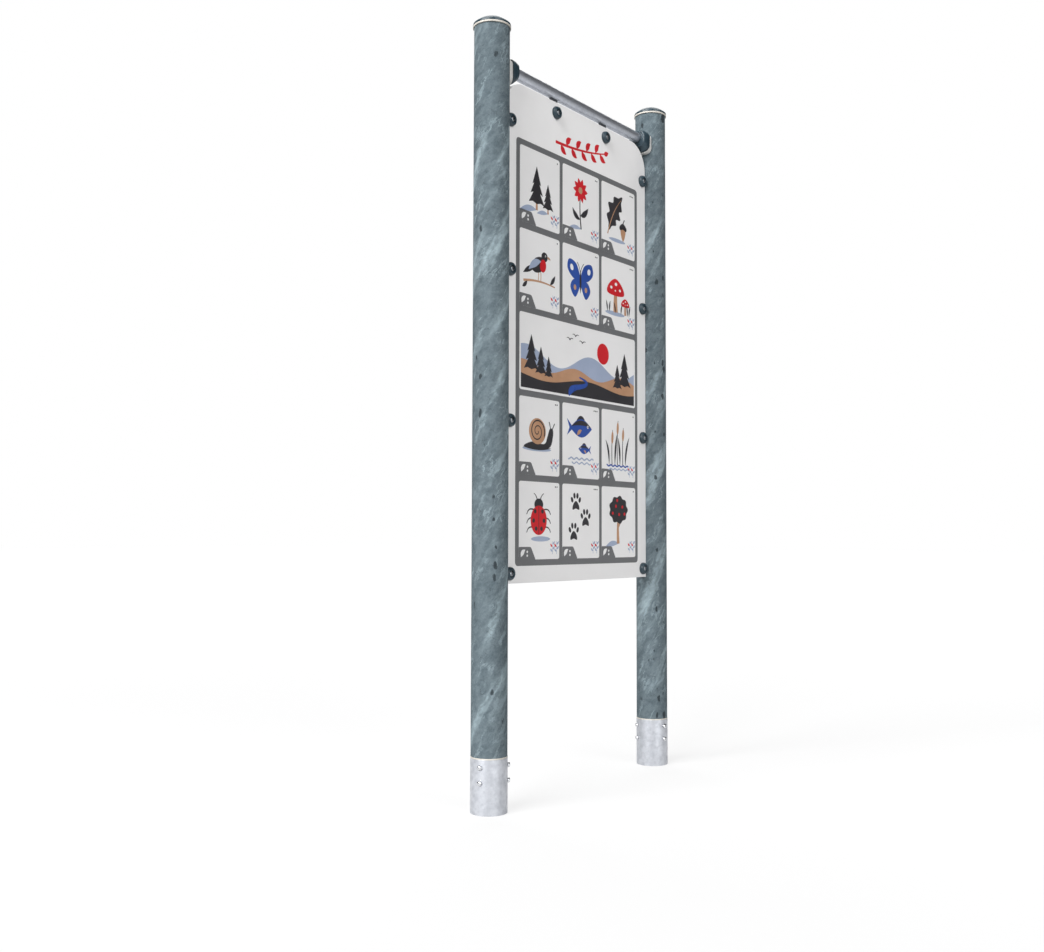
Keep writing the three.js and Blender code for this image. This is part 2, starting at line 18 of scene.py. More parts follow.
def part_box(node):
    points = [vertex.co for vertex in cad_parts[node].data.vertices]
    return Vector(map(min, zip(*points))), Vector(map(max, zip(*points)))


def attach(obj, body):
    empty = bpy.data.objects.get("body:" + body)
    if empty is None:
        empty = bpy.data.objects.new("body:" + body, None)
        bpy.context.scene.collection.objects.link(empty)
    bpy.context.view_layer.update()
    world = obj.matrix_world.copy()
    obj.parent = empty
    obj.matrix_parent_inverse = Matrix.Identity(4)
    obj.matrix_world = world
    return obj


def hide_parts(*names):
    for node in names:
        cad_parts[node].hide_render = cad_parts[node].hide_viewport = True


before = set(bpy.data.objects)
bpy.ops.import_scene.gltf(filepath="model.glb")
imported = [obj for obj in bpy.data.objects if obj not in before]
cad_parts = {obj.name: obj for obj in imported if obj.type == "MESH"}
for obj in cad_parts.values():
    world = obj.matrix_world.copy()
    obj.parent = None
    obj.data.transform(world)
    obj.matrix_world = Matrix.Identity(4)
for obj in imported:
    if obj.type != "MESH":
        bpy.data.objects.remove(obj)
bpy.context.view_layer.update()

MM = 0.001
scene = bpy.context.scene

# %% [markdown]
# ## Sizes
#
# The CAD model already says how big everything is. Reading the boxes of its nodes keeps the two models
# together: if a post grows there, it grows here. Only forms that a box can't tell, such as how a bracket
# narrows, are repeated as named values beside the function that uses them. All lengths are in millimetres,
# except in the materials, which work in metres.

# %% Read the main sizes
SIDES = {"left": 1, "right": -1}


def span(node):
    """The lowest and highest corners of a CAD node."""
    return np.array([list(corner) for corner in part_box(node)]) / MM


post_low, post_high = span("left_post")
foot_low, foot_high = span("left_foot")
ring_low, ring_high = span("left_foot_ring")
cap_low, cap_high = span("left_cap")
board_low, board_high = span("board")

post_centre = (post_low[0] + post_high[0]) / 2
post_radius = (post_high[0] - post_low[0]) / 2
foot_radius = (foot_high[0] - foot_low[0]) / 2
cap_radius = (cap_high[0] - cap_low[0]) / 2
post_top = post_high[2]
cap_seat = span("left_cap_ring")[1][2]
print("post", round(2 * post_radius, 1), "across, board", np.round(board_high - board_low, 1))

# %% [markdown]
# ## From a grid of points to a mesh
#
# Most pieces are a sheet of points with two parameters, such as the angle round an axis and the place along
# a profile. Neighbouring points make a quad. The mesh is then finished in one way for all pieces: doubled
# points at poles and seams are merged, the faces are turned outwards, and edges sharper than an angle stay
# crisp while the rest is shaded smooth.

# %% Faces of a grid
def grid_faces(rows, columns):
    """Quads of a grid whose rows are closed: point (i, j) joins (i, j+1), (i+1, j+1) and (i+1, j), and the
    last column joins the first."""
    i = np.arange(rows - 1)[:, None]
    j = np.arange(columns)[None, :]
    right = (j + 1) % columns
    corners = [i * columns + j, i * columns + right, (i + 1) * columns + right, (i + 1) * columns + j]
    return np.stack(np.broadcast_arrays(*corners), axis=-1).reshape(-1, 4)


# %% [markdown]
# A piece is a list of shells, each with its points and its faces.

# %% Finish a piece
MERGE_DISTANCE = 0.002
SHARP_ANGLE = math.radians(32)
piece_sizes = {}


def add_object(name, data):
    """An object of this data, put in the scene."""
    thing = bpy.data.objects.new(name, data)
    scene.collection.objects.link(thing)
    return thing


def make_piece(name, shells, material, replaced=None):
    """One object from shells of points and faces. Points of all shells are stacked, and each shell's face
    numbers are raised by the number of points before it."""
    points, faces, start = [], [], 0
    for shell_points, shell_faces in shells:
        points.append(shell_points)
        faces += [[int(corner) + start for corner in face] for face in shell_faces]
        start += len(shell_points)
    mesh = bpy.data.meshes.new(name)
    mesh.from_pydata((np.concatenate(points) * MM).tolist(), [], faces)
    work = bmesh.new()
    work.from_mesh(mesh)
    bmesh.ops.remove_doubles(work, verts=work.verts, dist=MERGE_DISTANCE * MM)
    bmesh.ops.recalc_face_normals(work, faces=work.faces)
    work.to_mesh(mesh)
    work.free()
    mesh.shade_smooth()
    mesh.set_sharp_from_angle(angle=SHARP_ANGLE)
    mesh.materials.append(material)
    piece = add_object(name, mesh)
    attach(piece, "root")
    if replaced:
        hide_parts(replaced)
    piece_sizes[name] = len(mesh.polygons)


# %% [markdown]
# ## Profiles
#
# Sleeves, rings, caps and screws are turned parts. On the real object no edge is a knife edge, and the thin
# line of light along a rounded edge is what makes metal and plastic look real. So each corner of a profile
# may have its own round.

# %% Round the corners of a profile
def bow(start, via, end, steps=12):
    """A curve from A to C that is drawn towards B: (1-t)(1-t) A + 2t(1-t) B + t t C."""
    t = np.linspace(0, 1, steps + 1)[:, None]
    a, b, c = (np.array(point, float) for point in (start, via, end))
    return (1 - t) ** 2 * a + 2 * t * (1 - t) * b + t ** 2 * c


def rounded(corners, radii, steps=6):
    """A path with rounded corners. Round a corner B the path leaves at A and comes back at C, each a given
    distance from B, along a bow."""
    corners = np.asarray(corners, float)
    path = [corners[:1]]
    for before, corner, after, radius in zip(corners[:-2], corners[1:-1], corners[2:], radii):
        if radius == 0:
            path.append(corner[None])
            continue
        a, c = (corner + (other - corner) / np.linalg.norm(other - corner) * radius
                for other in (before, after))
        path.append(bow(a, corner, c, steps))
    return np.concatenate([*path, corners[-1:]])


# %% Turn a profile round an axis
ROUND = 160


def angles(steps):
    """Even steps once round a circle."""
    return np.arange(steps) / steps * 2 * np.pi


def quarter(steps):
    """Even steps from nothing to a quarter of a circle, with both ends."""
    return np.linspace(0, np.pi / 2, steps + 1)


def ellipse(turn, across=1.0, up=None):
    """The points (a cos t, b sin t) at the angles t. Without b it is a circle of radius a."""
    return np.stack([across * np.cos(turn), (across if up is None else up) * np.sin(turn)], axis=-1)


def around(reach, heights):
    """Rows of points round the Z axis: the point at angle a is (r cos a, r sin a, h). Each row has one
    height h, and a reach r for every angle."""
    angle = angles(reach.shape[1])
    heights = np.broadcast_to(np.asarray(heights)[:, None], reach.shape)
    points = np.concatenate([ellipse(angle, reach), heights[..., None]], axis=-1)
    return points.reshape(-1, 3), grid_faces(*reach.shape)


def turned(profile, segments=ROUND):
    """A surface of revolution: every profile point (r, h) makes one round row."""
    profile = np.asarray(profile, float)
    return around(np.repeat(profile[:, :1], segments, axis=1), profile[:, 1])


# %% [markdown]
# Pieces are shaped where they are easiest to think about, round the Z axis or looking along X, and then
# carried to their place.

# %% Carry points to their place
def spin(degrees, axis="Z"):
    """The matrix that turns things round an axis."""
    return np.array(Matrix.Rotation(math.radians(degrees), 3, axis))


Z_TO_X = spin(90, "Y")
Z_TO_MINUS_Y = spin(90, "X")


def carried(shell, turn, shift):
    """Each point is multiplied by a turning matrix and then moved by a shift."""
    points, faces = shell
    return points @ turn.T + np.asarray(shift, float), faces


def make_pairs(*pieces, height=0.0):
    """Pieces for each post, as (name, shell, material, slot, CAD node); the slot is not used. A shell is
    shaped round a post's own axis, with +X towards the board."""
    for side, facing in SIDES.items():
        for name, shell, material, slot, node in pieces:
            placed = carried(shell, spin(90 - 90 * facing), (facing * post_centre, 0, height))
            make_piece(f"{side}_{name}", [placed], material, f"{side}_{node}")
    print({name: piece_sizes[f"left_{name}"] for name, *_ in pieces}, "faces")


# %% [markdown]
# ## Helpers for finishes
#
# A material is a small network of nodes. `place` adds one node and joins or sets its sockets in the same
# breath, so that a network reads like a recipe. `new_group` starts a group of nodes with named inputs and
# outputs: an effect that several finishes share is built once and used in each with its own values.

# %% Node helpers
def feed(tree, sockets, values):
    """Links a socket to a value that is another node's output, and sets it to any other value."""
    for key, value in values.items():
        if isinstance(value, bpy.types.NodeSocket):
            tree.links.new(value, sockets[key])
        else:
            sockets[key].default_value = value


def place(tree, kind, values=None, **settings):
    """Adds a node with its settings, feeds its inputs and gives its outputs."""
    node = tree.nodes.new(kind)
    for key, value in settings.items():
        setattr(node, key, value)
    feed(tree, node.inputs, values or {})
    return node.outputs


def maths(tree, operation, first, second=0.0, third=0.0):
    """The result of one step of arithmetic on numbers."""
    return place(tree, "ShaderNodeMath", {0: first, 1: second, 2: third}, operation=operation)[0]


def vectors(tree, operation, first, second):
    """The result of one step of arithmetic on vectors."""
    return place(tree, "ShaderNodeVectorMath", {0: first, 1: second}, operation=operation)[0]


def noise(tree, vector, scale, detail=4.0, roughness=0.55, output="Fac"):
    """Soft noise about 1/scale metres across."""
    values = {"Vector": vector, "Scale": scale, "Detail": detail, "Roughness": roughness}
    return place(tree, "ShaderNodeTexNoise", values)[output]


def cells(tree, vector, scale, **settings):
    """The outputs of Voronoi cells about 1/scale metres across."""
    return place(tree, "ShaderNodeTexVoronoi", {"Vector": vector, "Scale": scale}, **settings)


def ramp(tree, value, low, high, start=0.0, end=1.0):
    """Carries value from low..high to start..end along a smooth S, and holds it there outside."""
    values = {"Value": value, "From Min": low, "From Max": high, "To Min": start, "To Max": end}
    return place(tree, "ShaderNodeMapRange", values, interpolation_type="SMOOTHSTEP")[0]


def blend(tree, share, first, second):
    """Colour: share of second laid over first."""
    return place(tree, "ShaderNodeMix", {0: share, 6: first, 7: second}, data_type="RGBA")[2]


# %% Groups and colours
VECTOR = "NodeSocketVector"
COLOUR = "NodeSocketColor"
VALUE = "NodeSocketFloat"


def new_group(name, inputs, outputs):
    """An empty node group with named sockets, its input node and its output node."""
    tree = bpy.data.node_groups.new(name, "ShaderNodeTree")
    for direction, sockets in (("INPUT", inputs), ("OUTPUT", outputs)):
        for label, kind in sockets.items():
            tree.interface.new_socket(label, in_out=direction, socket_type=kind)
    given = tree.nodes.new("NodeGroupInput").outputs
    result = tree.nodes.new("NodeGroupOutput").inputs
    return tree, given, result


def use_group(tree, group, values):
    """Places a group in a material with its own values."""
    return place(tree, "ShaderNodeGroup", values, node_tree=group)


def srgb(red, green, blue):
    """A colour as a picture program shows it, 0 to 255, as the linear colour that a shader needs:
    ((c + 0.055) / 1.055) to the power 2.4, or c / 12.92 near black."""
    c = np.array([red, green, blue]) / 255
    linear = np.where(c > 0.04045, ((c + 0.055) / 1.055) ** 2.4, c / 12.92)
    return (*linear.tolist(), 1.0)


# %% [markdown]
# ### Groups: cloud, grain and dust
#
# *Cloud* varies a colour softly between two tones. *Grain* is the fine texture that a mould or a zinc bath
# leaves, as a height for a bump. *Dust* settles on faces that look up, a little unevenly.

# %% Cloud group
cloud, given, result = new_group(
    "cloudy_colour", {"Vector": VECTOR, "Dark": COLOUR, "Light": COLOUR, "Scale": VALUE},
    {"Colour": COLOUR, "Mask": VALUE})
patches = noise(cloud, given["Vector"], given["Scale"], 5.0, 0.6)
mask = ramp(cloud, patches, 0.34, 0.66)
feed(cloud, result, {"Colour": blend(cloud, mask, given["Dark"], given["Light"]), "Mask": mask})

# %% Grain group
grain, given, result = new_group("moulded_grain", {"Vector": VECTOR, "Scale": VALUE}, {"Height": VALUE})
pits = cells(grain, given["Vector"], given["Scale"])["Distance"]
soft = noise(grain, given["Vector"], given["Scale"], 3.0)
feed(grain, result, {"Height": maths(grain, "MULTIPLY_ADD", pits, 0.5, soft)})

# %% Dust group
dust, given, result = new_group("settled_dust", {"Vector": VECTOR, "Amount": VALUE}, {"Mask": VALUE})
normal = place(dust, "ShaderNodeNewGeometry")["Normal"]
facing_up = place(dust, "ShaderNodeSeparateXYZ", {0: normal})["Z"]
lying = ramp(dust, facing_up, 0.25, 0.95)
uneven = ramp(dust, noise(dust, given["Vector"], 60.0, 5.0), 0.3, 0.75, 0.25, 1.0)
settled = maths(dust, "MULTIPLY", lying, uneven)
feed(dust, result, {"Mask": maths(dust, "MULTIPLY", settled, given["Amount"])})
print("groups", [group.name for group in bpy.data.node_groups])

# %% [markdown]
# ### Group: marbled composite
#
# The posts are a recycled composite with a mottled blue-grey ground, broad feathery wisps that climb to the
# right as they do round a screw, fine cracks, and small dark flecks. A screw-like lean needs no seam if
# space itself is twisted: a point is turned round the post's axis by an angle that grows with its height,
# and plain upright forms in that twisted space lean on the post.

# %% Twisted space
LEAN_PER_METRE = 10.0
APART = 3.0

marble, given, result = new_group(
    "marbled_composite",
    {"Vector": VECTOR, "Ground": COLOUR, "Shade": COLOUR, "Vein": COLOUR, "Fleck": COLOUR},
    {"Colour": COLOUR, "Veins": VALUE, "Flecks": VALUE})
parts = place(marble, "ShaderNodeSeparateXYZ", {0: given["Vector"]})
post_side = maths(marble, "SIGN", parts["X"])
axis_x = maths(marble, "MULTIPLY", post_side, -post_centre * MM)
other_part = maths(marble, "MULTIPLY", post_side, APART)
axis = place(marble, "ShaderNodeCombineXYZ", {"X": axis_x, "Z": other_part})[0]
own = vectors(marble, "SUBTRACT", given["Vector"], axis)
twist = maths(marble, "MULTIPLY", parts["Z"], -LEAN_PER_METRE)
twisted = place(marble, "ShaderNodeVectorRotate", {"Vector": own, "Angle": twist},
                rotation_type="Z_AXIS")[0]


# %% Bent and stretched copies of a space
def bent(tree, vector, scale, amount):
    """A space pushed about by soft noise: v + amount (n - 1/2), with n a noise colour."""
    push = vectors(tree, "SUBTRACT", noise(tree, vector, scale, output="Color"), (0.5, 0.5, 0.5))
    return vectors(tree, "ADD", vector, vectors(tree, "MULTIPLY", push, (amount, amount, amount)))


def drawn_out(tree, vector, share):
    """A space in which everything comes out 1/share times as tall."""
    return vectors(tree, "MULTIPLY", vector, (1.0, 1.0, share))


# %% [markdown]
# A wisp is where a soft stretched noise is high. Its edge is feathered by bending the space first, and its
# inside by a second noise of short strokes. A few thin strands, the places where a noise passes its middle,
# run along with it.

# %% Wisps
brushed = drawn_out(marble, bent(marble, twisted, 34.0, 0.035), 0.17)
wisp_body = ramp(marble, noise(marble, brushed, 20.0, 2.0, 0.5), 0.51, 0.71)
dabbed = drawn_out(marble, bent(marble, twisted, 60.0, 0.02), 0.4)
strokes = ramp(marble, noise(marble, dabbed, 70.0, 5.0, 0.65), 0.32, 0.66, 0.3, 1.0)
wisps = maths(marble, "MULTIPLY", wisp_body, strokes)
off_middle = maths(marble, "SUBTRACT", noise(marble, brushed, 26.0, 4.0, 0.6), 0.5)
strand_line = ramp(marble, maths(marble, "ABSOLUTE", off_middle), 0.0, 0.035, 0.5, 0.0)
strand_patch = ramp(marble, noise(marble, own, 16.0, 3.0), 0.43, 0.63)
veins = maths(marble, "MAXIMUM", wisps, maths(marble, "MULTIPLY", strand_line, strand_patch))

# %% Mottled ground and cracks
blotches = ramp(marble, noise(marble, bent(marble, twisted, 50.0, 0.02), 42.0, 7.0, 0.68), 0.34, 0.64)
speckle = ramp(marble, noise(marble, own, 210.0, 5.0, 0.7), 0.3, 0.7)
mottle = maths(marble, "MULTIPLY_ADD", speckle, 0.4, maths(marble, "MULTIPLY", blotches, 0.6))
ground = blend(marble, mottle, given["Shade"], given["Ground"])
plates = cells(marble, bent(marble, own, 40.0, 0.03), 42.0, feature="DISTANCE_TO_EDGE")["Distance"]
crack_line = ramp(marble, plates, 0.0, 0.028, 1.0, 0.0)
crack_patch = ramp(marble, noise(marble, own, 24.0, 3.0), 0.5, 0.62, 0.0, 0.55)
cracks = maths(marble, "MULTIPLY", crack_line, crack_patch)
cracked = blend(marble, cracks, blend(marble, veins, ground, given["Vein"]), given["Fleck"])

# %% [markdown]
# The flecks are the middles of some Voronoi cells, drawn out along the post. Each cell's random colour says
# whether it has a fleck and how large it is. A second, coarser set gives the rare blotch of a thumb's width.

# %% Flecks and blotches
def flecks(tree, space, scale, lowest_lot, largest, softness):
    """A mask of spots: r - d, the distance that a point lies inside a spot of radius r, carried from
    0..softness to 0..0.85. The radius grows with the cell's lot from nothing at the lowest lot."""
    spots = cells(tree, space, scale)
    lot = place(tree, "ShaderNodeSeparateColor", {0: spots["Color"]})[0]
    inside = maths(tree, "SUBTRACT", ramp(tree, lot, lowest_lot, 1.0, 0.0, largest), spots["Distance"])
    return ramp(tree, inside, 0.0, softness, 0.0, 0.85)


small_space = bent(marble, drawn_out(marble, own, 0.55), 90.0, 0.012)
large_space = bent(marble, drawn_out(marble, own, 0.7), 60.0, 0.016)
fleck_mask = maths(marble, "MAXIMUM", flecks(marble, small_space, 38.0, 0.2, 0.27, 0.08),
                   flecks(marble, large_space, 15.0, 0.66, 0.19, 0.04))
feed(marble, result, {"Colour": blend(marble, fleck_mask, cracked, given["Fleck"]), "Veins": veins,
                      "Flecks": maths(marble, "MAXIMUM", fleck_mask, cracks)})

# %% [markdown]
# ### Group: zinc
#
# Hot-dip zinc freezes in crystals, the spangle, and weathers to clouds of light and dull grey. Crystals are
# Voronoi cells, each with a tone of its own, and the clouds are soft noise over them.

# %% Zinc group
zinc, given, result = new_group(
    "zinc_spangle",
    {"Vector": VECTOR, "Bright": COLOUR, "Dull": COLOUR, "Crystal scale": VALUE, "Cloud scale": VALUE},
    {"Colour": COLOUR, "Tone": VALUE, "Height": VALUE})
crystals = cells(zinc, given["Vector"], given["Crystal scale"])
crystal_tone = place(zinc, "ShaderNodeSeparateColor", {0: crystals["Color"]})[0]
clouding = ramp(zinc, noise(zinc, given["Vector"], given["Cloud scale"], 5.0, 0.6), 0.3, 0.7)
tone = maths(zinc, "MULTIPLY_ADD", crystal_tone, 0.22, maths(zinc, "MULTIPLY", clouding, 0.78))
fine = noise(zinc, given["Vector"], 700.0, 3.0)
feed(zinc, result, {"Colour": blend(zinc, tone, given["Dull"], given["Bright"]), "Tone": tone,
                    "Height": maths(zinc, "MULTIPLY_ADD", crystal_tone, 0.4, fine)})

# %% [markdown]
# ## Materials
#
# Each material is one Principled shader. What is the same all over the surface, such as how metallic it
# is, is set on the shader itself, and what changes over the surface comes from the groups.

# %% Start a material
def new_material(name, colour, **constants):
    """A material with one Principled shader, its plain colour and its constant values. Gives the material,
    its tree, the shader's inputs, and Object coordinates."""
    material = bpy.data.materials.new(name)
    material.use_nodes = True
    material.diffuse_color = colour
    tree = material.node_tree
    shader = tree.nodes["Principled BSDF"].inputs
    feed(tree, shader, {"Base Color": colour})
    feed(tree, shader, {key.replace("_", " "): value for key, value in constants.items()})
    return material, tree, shader, place(tree, "ShaderNodeTexCoord")["Object"]


def bump(tree, shader, height, depth, **under):
    """A bump of a given depth in metres from a height, laid over another Normal if there is one."""
    normal = place(tree, "ShaderNodeBump", {"Height": height, "Strength": 1.0, "Distance": depth, **under})[0]
    feed(tree, shader, {"Normal": normal})
    return normal


def finish(tree, shader, colour, mask, first, last, full=1.0):
    """Gives the surface its colour, and a roughness that goes from first to last as the mask rises."""
    feed(tree, shader, {"Base Color": colour, "Roughness": ramp(tree, mask, 0.0, full, first, last)})


def clouded(name, light, dark, scale, first, last, plain=None, **constants):
    """A material whose colour and roughness follow one soft cloud."""
    material, tree, shader, where = new_material(name, srgb(*(plain or light)), **constants)
    tones = {"Dark": srgb(*dark), "Light": srgb(*light)}
    made = use_group(tree, cloud, {"Vector": where, "Scale": scale, **tones})
    finish(tree, shader, made["Colour"], made["Mask"], first, last)
    return material, tree, shader, where


# %% Marbled composite
SKIN_DEPTH = 0.00012
FLECK_DEPTH = 0.0004
COMPOSITE = {"Ground": srgb(109, 121, 127), "Shade": srgb(80, 92, 98), "Vein": srgb(150, 166, 172),
             "Fleck": srgb(50, 56, 60)}
composite, tree, shader, where = new_material("marbled_composite", COMPOSITE["Ground"],
                                              Specular_IOR_Level=0.03)
made = use_group(tree, marble, {"Vector": where, **COMPOSITE})
finish(tree, shader, made["Colour"], made["Veins"], 0.72, 0.6)
moulded = use_group(tree, grain, {"Vector": where, "Scale": 900.0})
uneven_skin = bump(tree, shader, moulded["Height"], SKIN_DEPTH)
bump(tree, shader, maths(tree, "MULTIPLY", made["Flecks"], -1.0), FLECK_DEPTH, Normal=uneven_skin)


# %% Galvanised steel, on the foot sleeves, the tube and its lugs
ZINC_DEPTH = 0.00006


def galvanised(name, bright, dull, crystal_scale, cloud_scale, **constants):
    """Zinc with its own tones and its own size of crystals and clouds."""
    bright, dull = srgb(*bright), srgb(*dull)
    material, tree, shader, where = new_material(name, bright, **constants)
    made = use_group(tree, zinc, {"Vector": where, "Bright": bright, "Dull": dull,
                                  "Crystal scale": crystal_scale, "Cloud scale": cloud_scale})
    finish(tree, shader, made["Colour"], made["Tone"], 0.5, 0.34)
    bump(tree, shader, made["Height"], ZINC_DEPTH)
    return material


foot_zinc = galvanised("galvanised_foot", (203, 206, 212), (177, 180, 187), 130.0, 55.0, Metallic=0.55,
                       Specular_IOR_Level=0.2)
rail_zinc = galvanised("galvanised_rail", (213, 217, 225), (192, 196, 205), 190.0, 60.0, Metallic=0.9)
# The lugs' zinc is painted much darker than the tube's: painted shade, for the shade they stand in under the
# tube.
lug_zinc_painted_shade = galvanised("galvanised_lug_painted_shade", (104, 108, 113), (88, 92, 98), 190.0, 60.0, Metallic=0.6)


# %% Moulded plastics
DUST_TONE = srgb(150, 152, 150)
MOULD_DEPTH = 0.00005


def plastic(name, light, dark, smooth, rough, dusty):
    """Moulded plastic: a faint cloud in its colour, the grain of the mould, and dust where it looks up."""
    light, dark = srgb(*light), srgb(*dark)
    material, tree, shader, where = new_material(name, light)
    made = use_group(tree, cloud, {"Vector": where, "Dark": dark, "Light": light, "Scale": 45.0})
    settled = use_group(tree, dust, {"Vector": where, "Amount": dusty})
    dusted = blend(tree, settled["Mask"], made["Colour"], DUST_TONE)
    finish(tree, shader, dusted, maths(tree, "ADD", made["Mask"], settled["Mask"]), smooth, rough, 1.2)
    moulded = use_group(tree, grain, {"Vector": where, "Scale": 1100.0})
    bump(tree, shader, moulded["Height"], MOULD_DEPTH)
    return material


slate_plastic = plastic("slate_plastic", (50, 69, 79), (41, 58, 67), 0.3, 0.42, 0.12)
beige_plastic = plastic("beige_plastic", (210, 205, 196), (200, 195, 186), 0.55, 0.65, 0.05)
pale_rubber = plastic("pale_rubber", (218, 217, 214), (210, 209, 206), 0.6, 0.72, 0.05)


# %% Stainless steel, and steel painted darker as shade
def steel(name, plain, light, dark, smooth, rough):
    """Bare steel with a fine cloud in its tone."""
    return clouded(name, light, dark, 240.0, smooth, rough, plain, Metallic=1.0)[0]


stainless = steel("stainless_steel", (214, 215, 218), (226, 227, 229), (196, 198, 202), 0.2, 0.32)
# The board bolts' steel is painted darker than the stainless: painted shade, for the shade in the caps' sunk
# seats.
steel_painted_shade = steel("steel_painted_shade", (150, 155, 160), (164, 168, 173), (132, 137, 143), 0.25, 0.4)

# %% Board and print inks
PEEL_DEPTH = 0.00003
INK_TONES = {"shadow": [(168, 180, 204), (160, 173, 198)], "grey": [(112, 113, 115), (109, 110, 112)],
             "tan": [(196, 152, 120), (184, 140, 108)], "blue": [(48, 84, 168), (42, 76, 156)],
             "red": [(214, 32, 42), (202, 28, 38)], "charcoal": [(52, 50, 54), (44, 43, 47)],
             "white": [(243, 242, 242), (241, 240, 240)]}


def coated_sheet(name, light, dark):
    """A painted or printed sheet: nearly even, with a faint orange peel that only shows in its gloss."""
    material, tree, shader, where = clouded(name, light, dark, 9.0, 0.42, 0.5)
    bump(tree, shader, noise(tree, where, 420.0, 2.0), PEEL_DEPTH)
    return material


board_coat = coated_sheet("board_coat", (244, 243, 243), (242, 241, 241))
inks = {ink: coated_sheet(f"ink_{ink}", *tones) for ink, tones in INK_TONES.items()}
print("materials", len(bpy.data.materials))

# %% [markdown]
# ## Posts, feet and caps
#
# A post is a long turned bar, thinner where it stands in its foot and bored at the top for the cap's plug.
# Its straight side has a row of points every few centimetres so that the quads stay of even shape.

# %% Posts
SPIGOT_RADIUS = 47.3
SPIGOT_FOOT = 12
PLUG_BORE = 30
BORE_FLOOR = 2120.5
POST_EDGE = 1.0
POST_ROWS = 64
POST_RUN_IN = 4


def post_shell():
    """The profile climbs the spigot, steps out to the post's face, and drops into the bore at the top."""
    face, shoulder = post_radius, ring_high[2]
    heights = np.linspace(shoulder + POST_RUN_IN, post_top - POST_RUN_IN, POST_ROWS)
    side = np.stack([np.full(POST_ROWS, face), heights], axis=-1)
    lower = rounded([[0, SPIGOT_FOOT], [SPIGOT_RADIUS, SPIGOT_FOOT], [SPIGOT_RADIUS, shoulder],
                     [face, shoulder], side[0]], [1, 0, 0.6])
    upper = rounded([side[-1], [face, post_top], [PLUG_BORE, post_top], [PLUG_BORE, BORE_FLOOR],
                     [0, BORE_FLOOR]], [POST_EDGE, 0.5, 0])
    return turned(np.concatenate([lower, side[1:-1], upper]))


make_pairs(("post_body", post_shell(), composite, "composite", "post"))

# %% [markdown]
# The foot is a length of galvanised tube with a floor. Its rim is cut square and dipped, so it has a soft
# edge. The pale ring fills the joint between the foot and the post's shoulder.

# %% Feet and their rings
FOOT_WALL = 3.2
FOOT_FLOOR = 8


def foot_shell():
    """From the middle of the sole out to the face, up to the rim, and down inside to the floor."""
    outer, head = foot_radius, foot_high[2]
    bore = outer - FOOT_WALL
    return turned(rounded([[0, 0], [outer, 0], [outer, head], [bore, head], [bore, FOOT_FLOOR],
                           [0, FOOT_FLOOR]], [1.2, 1.1, 0.6, 0]))


def foot_ring_shell():
    """A rectangle as wide as the foot's wall, turned, with its outer edges rounded the most."""
    outer, inner = foot_radius, foot_radius - FOOT_WALL
    foot, head = ring_low[2], ring_high[2]
    start = [inner, (foot + head) / 2]
    corners = [start, [inner, foot], [outer, foot], [outer, head], [inner, head], start]
    return turned(rounded(corners, [0.3, 0.8, 0.8, 0.3]))


make_pairs(("foot_sleeve", foot_shell(), foot_zinc, "galvanised_steel", "foot"),
           ("foot_joint_ring", foot_ring_shell(), beige_plastic, "beige_plastic", "foot_ring"))

# %% [markdown]
# The cap is moulded: a shallow dome that springs from a thin upright rim, and a plug below. The ring under
# it lies on the post's end and hangs a short skirt round the post.

# %% Caps and their rings
CAP_RIM = 3.4
DOME_POWER = 2.5
DOME_STEPS = 28
CAP_LIP = 2.2
CAP_LIP_WIDTH = 1.3
CAP_LIP_GAP = 0.1
CAP_PLUG_RADIUS = 29.7
CAP_RING_SKIRT = 2.6
CAP_RING_PLAY = 0.3
cap_spring = cap_seat + CAP_RIM


def cap_shell():
    """The dome drops by h (r / c) ** p at radius r, with c the cap's radius, h its rise and p a little over
    2, so it is flatter on top and fuller at its shoulder than a ball. A lip hangs over the ring."""
    radius = np.linspace(cap_radius, 0, DOME_STEPS + 1)[1:]
    drop = (cap_high[2] - cap_spring) * (radius / cap_radius) ** DOME_POWER
    dome = np.stack([radius, cap_high[2] - drop], axis=-1)
    inner, lip_foot, plug_foot = cap_radius - CAP_LIP_WIDTH, cap_seat - CAP_LIP, cap_low[2]
    body = rounded([[0, plug_foot], [CAP_PLUG_RADIUS, plug_foot], [CAP_PLUG_RADIUS, cap_seat],
                    [inner, cap_seat], [inner, lip_foot], [cap_radius, lip_foot],
                    [cap_radius, cap_spring], dome[0]], [2, 0, 0, 0, 0.4, 0.7])
    return turned(np.concatenate([body, dome[1:]]))


def cap_ring_shell():
    """Round its section: along the post's end, down the skirt inside, up outside, and back over the top."""
    bore, skirt_foot = post_radius + CAP_RING_PLAY, post_top - CAP_RING_SKIRT
    inner, step = cap_radius - CAP_LIP_WIDTH - CAP_LIP_GAP, cap_seat - CAP_LIP - CAP_LIP_GAP
    head, start = cap_seat - CAP_LIP_GAP / 2, [PLUG_BORE, (post_top + cap_seat) / 2]
    section = [start, [PLUG_BORE, post_top], [bore, post_top], [bore, skirt_foot],
               [cap_radius, skirt_foot], [cap_radius, step], [inner, step], [inner, head],
               [PLUG_BORE, head], start]
    return turned(rounded(section, [0, 0, 0.3, 1.0, 0.4, 0, 0, 0]))


make_pairs(("post_cap", cap_shell(), slate_plastic, "slate_plastic", "cap"),
           ("cap_skirt_ring", cap_ring_shell(), beige_plastic, "beige_plastic", "cap_ring"))

# %% [markdown]
# ## Screws and bolts
#
# Every fixing on the sign is a button-head screw with a hexagonal key hole. The head is a turned dome, but
# the key hole has flats, so each row of points has its own mixture of round and hexagon.

# %% Rows between round and hexagon
SCREW_SEGMENTS = 48
BRIM_SHARE = 0.18
HEAD_EASING = 0.3
KEY_LAND = 0.5
KEY_DEPTH = 3
CHAMFER = 0.6


def hexagon(across_flats):
    """A hexagon's reach at each angle a: its half width across flats over cos(a'), where a' is the angle
    from the nearest flat."""
    return across_flats / 2 / np.cos(angles(SCREW_SEGMENTS) % (np.pi / 3) - np.pi / 6)


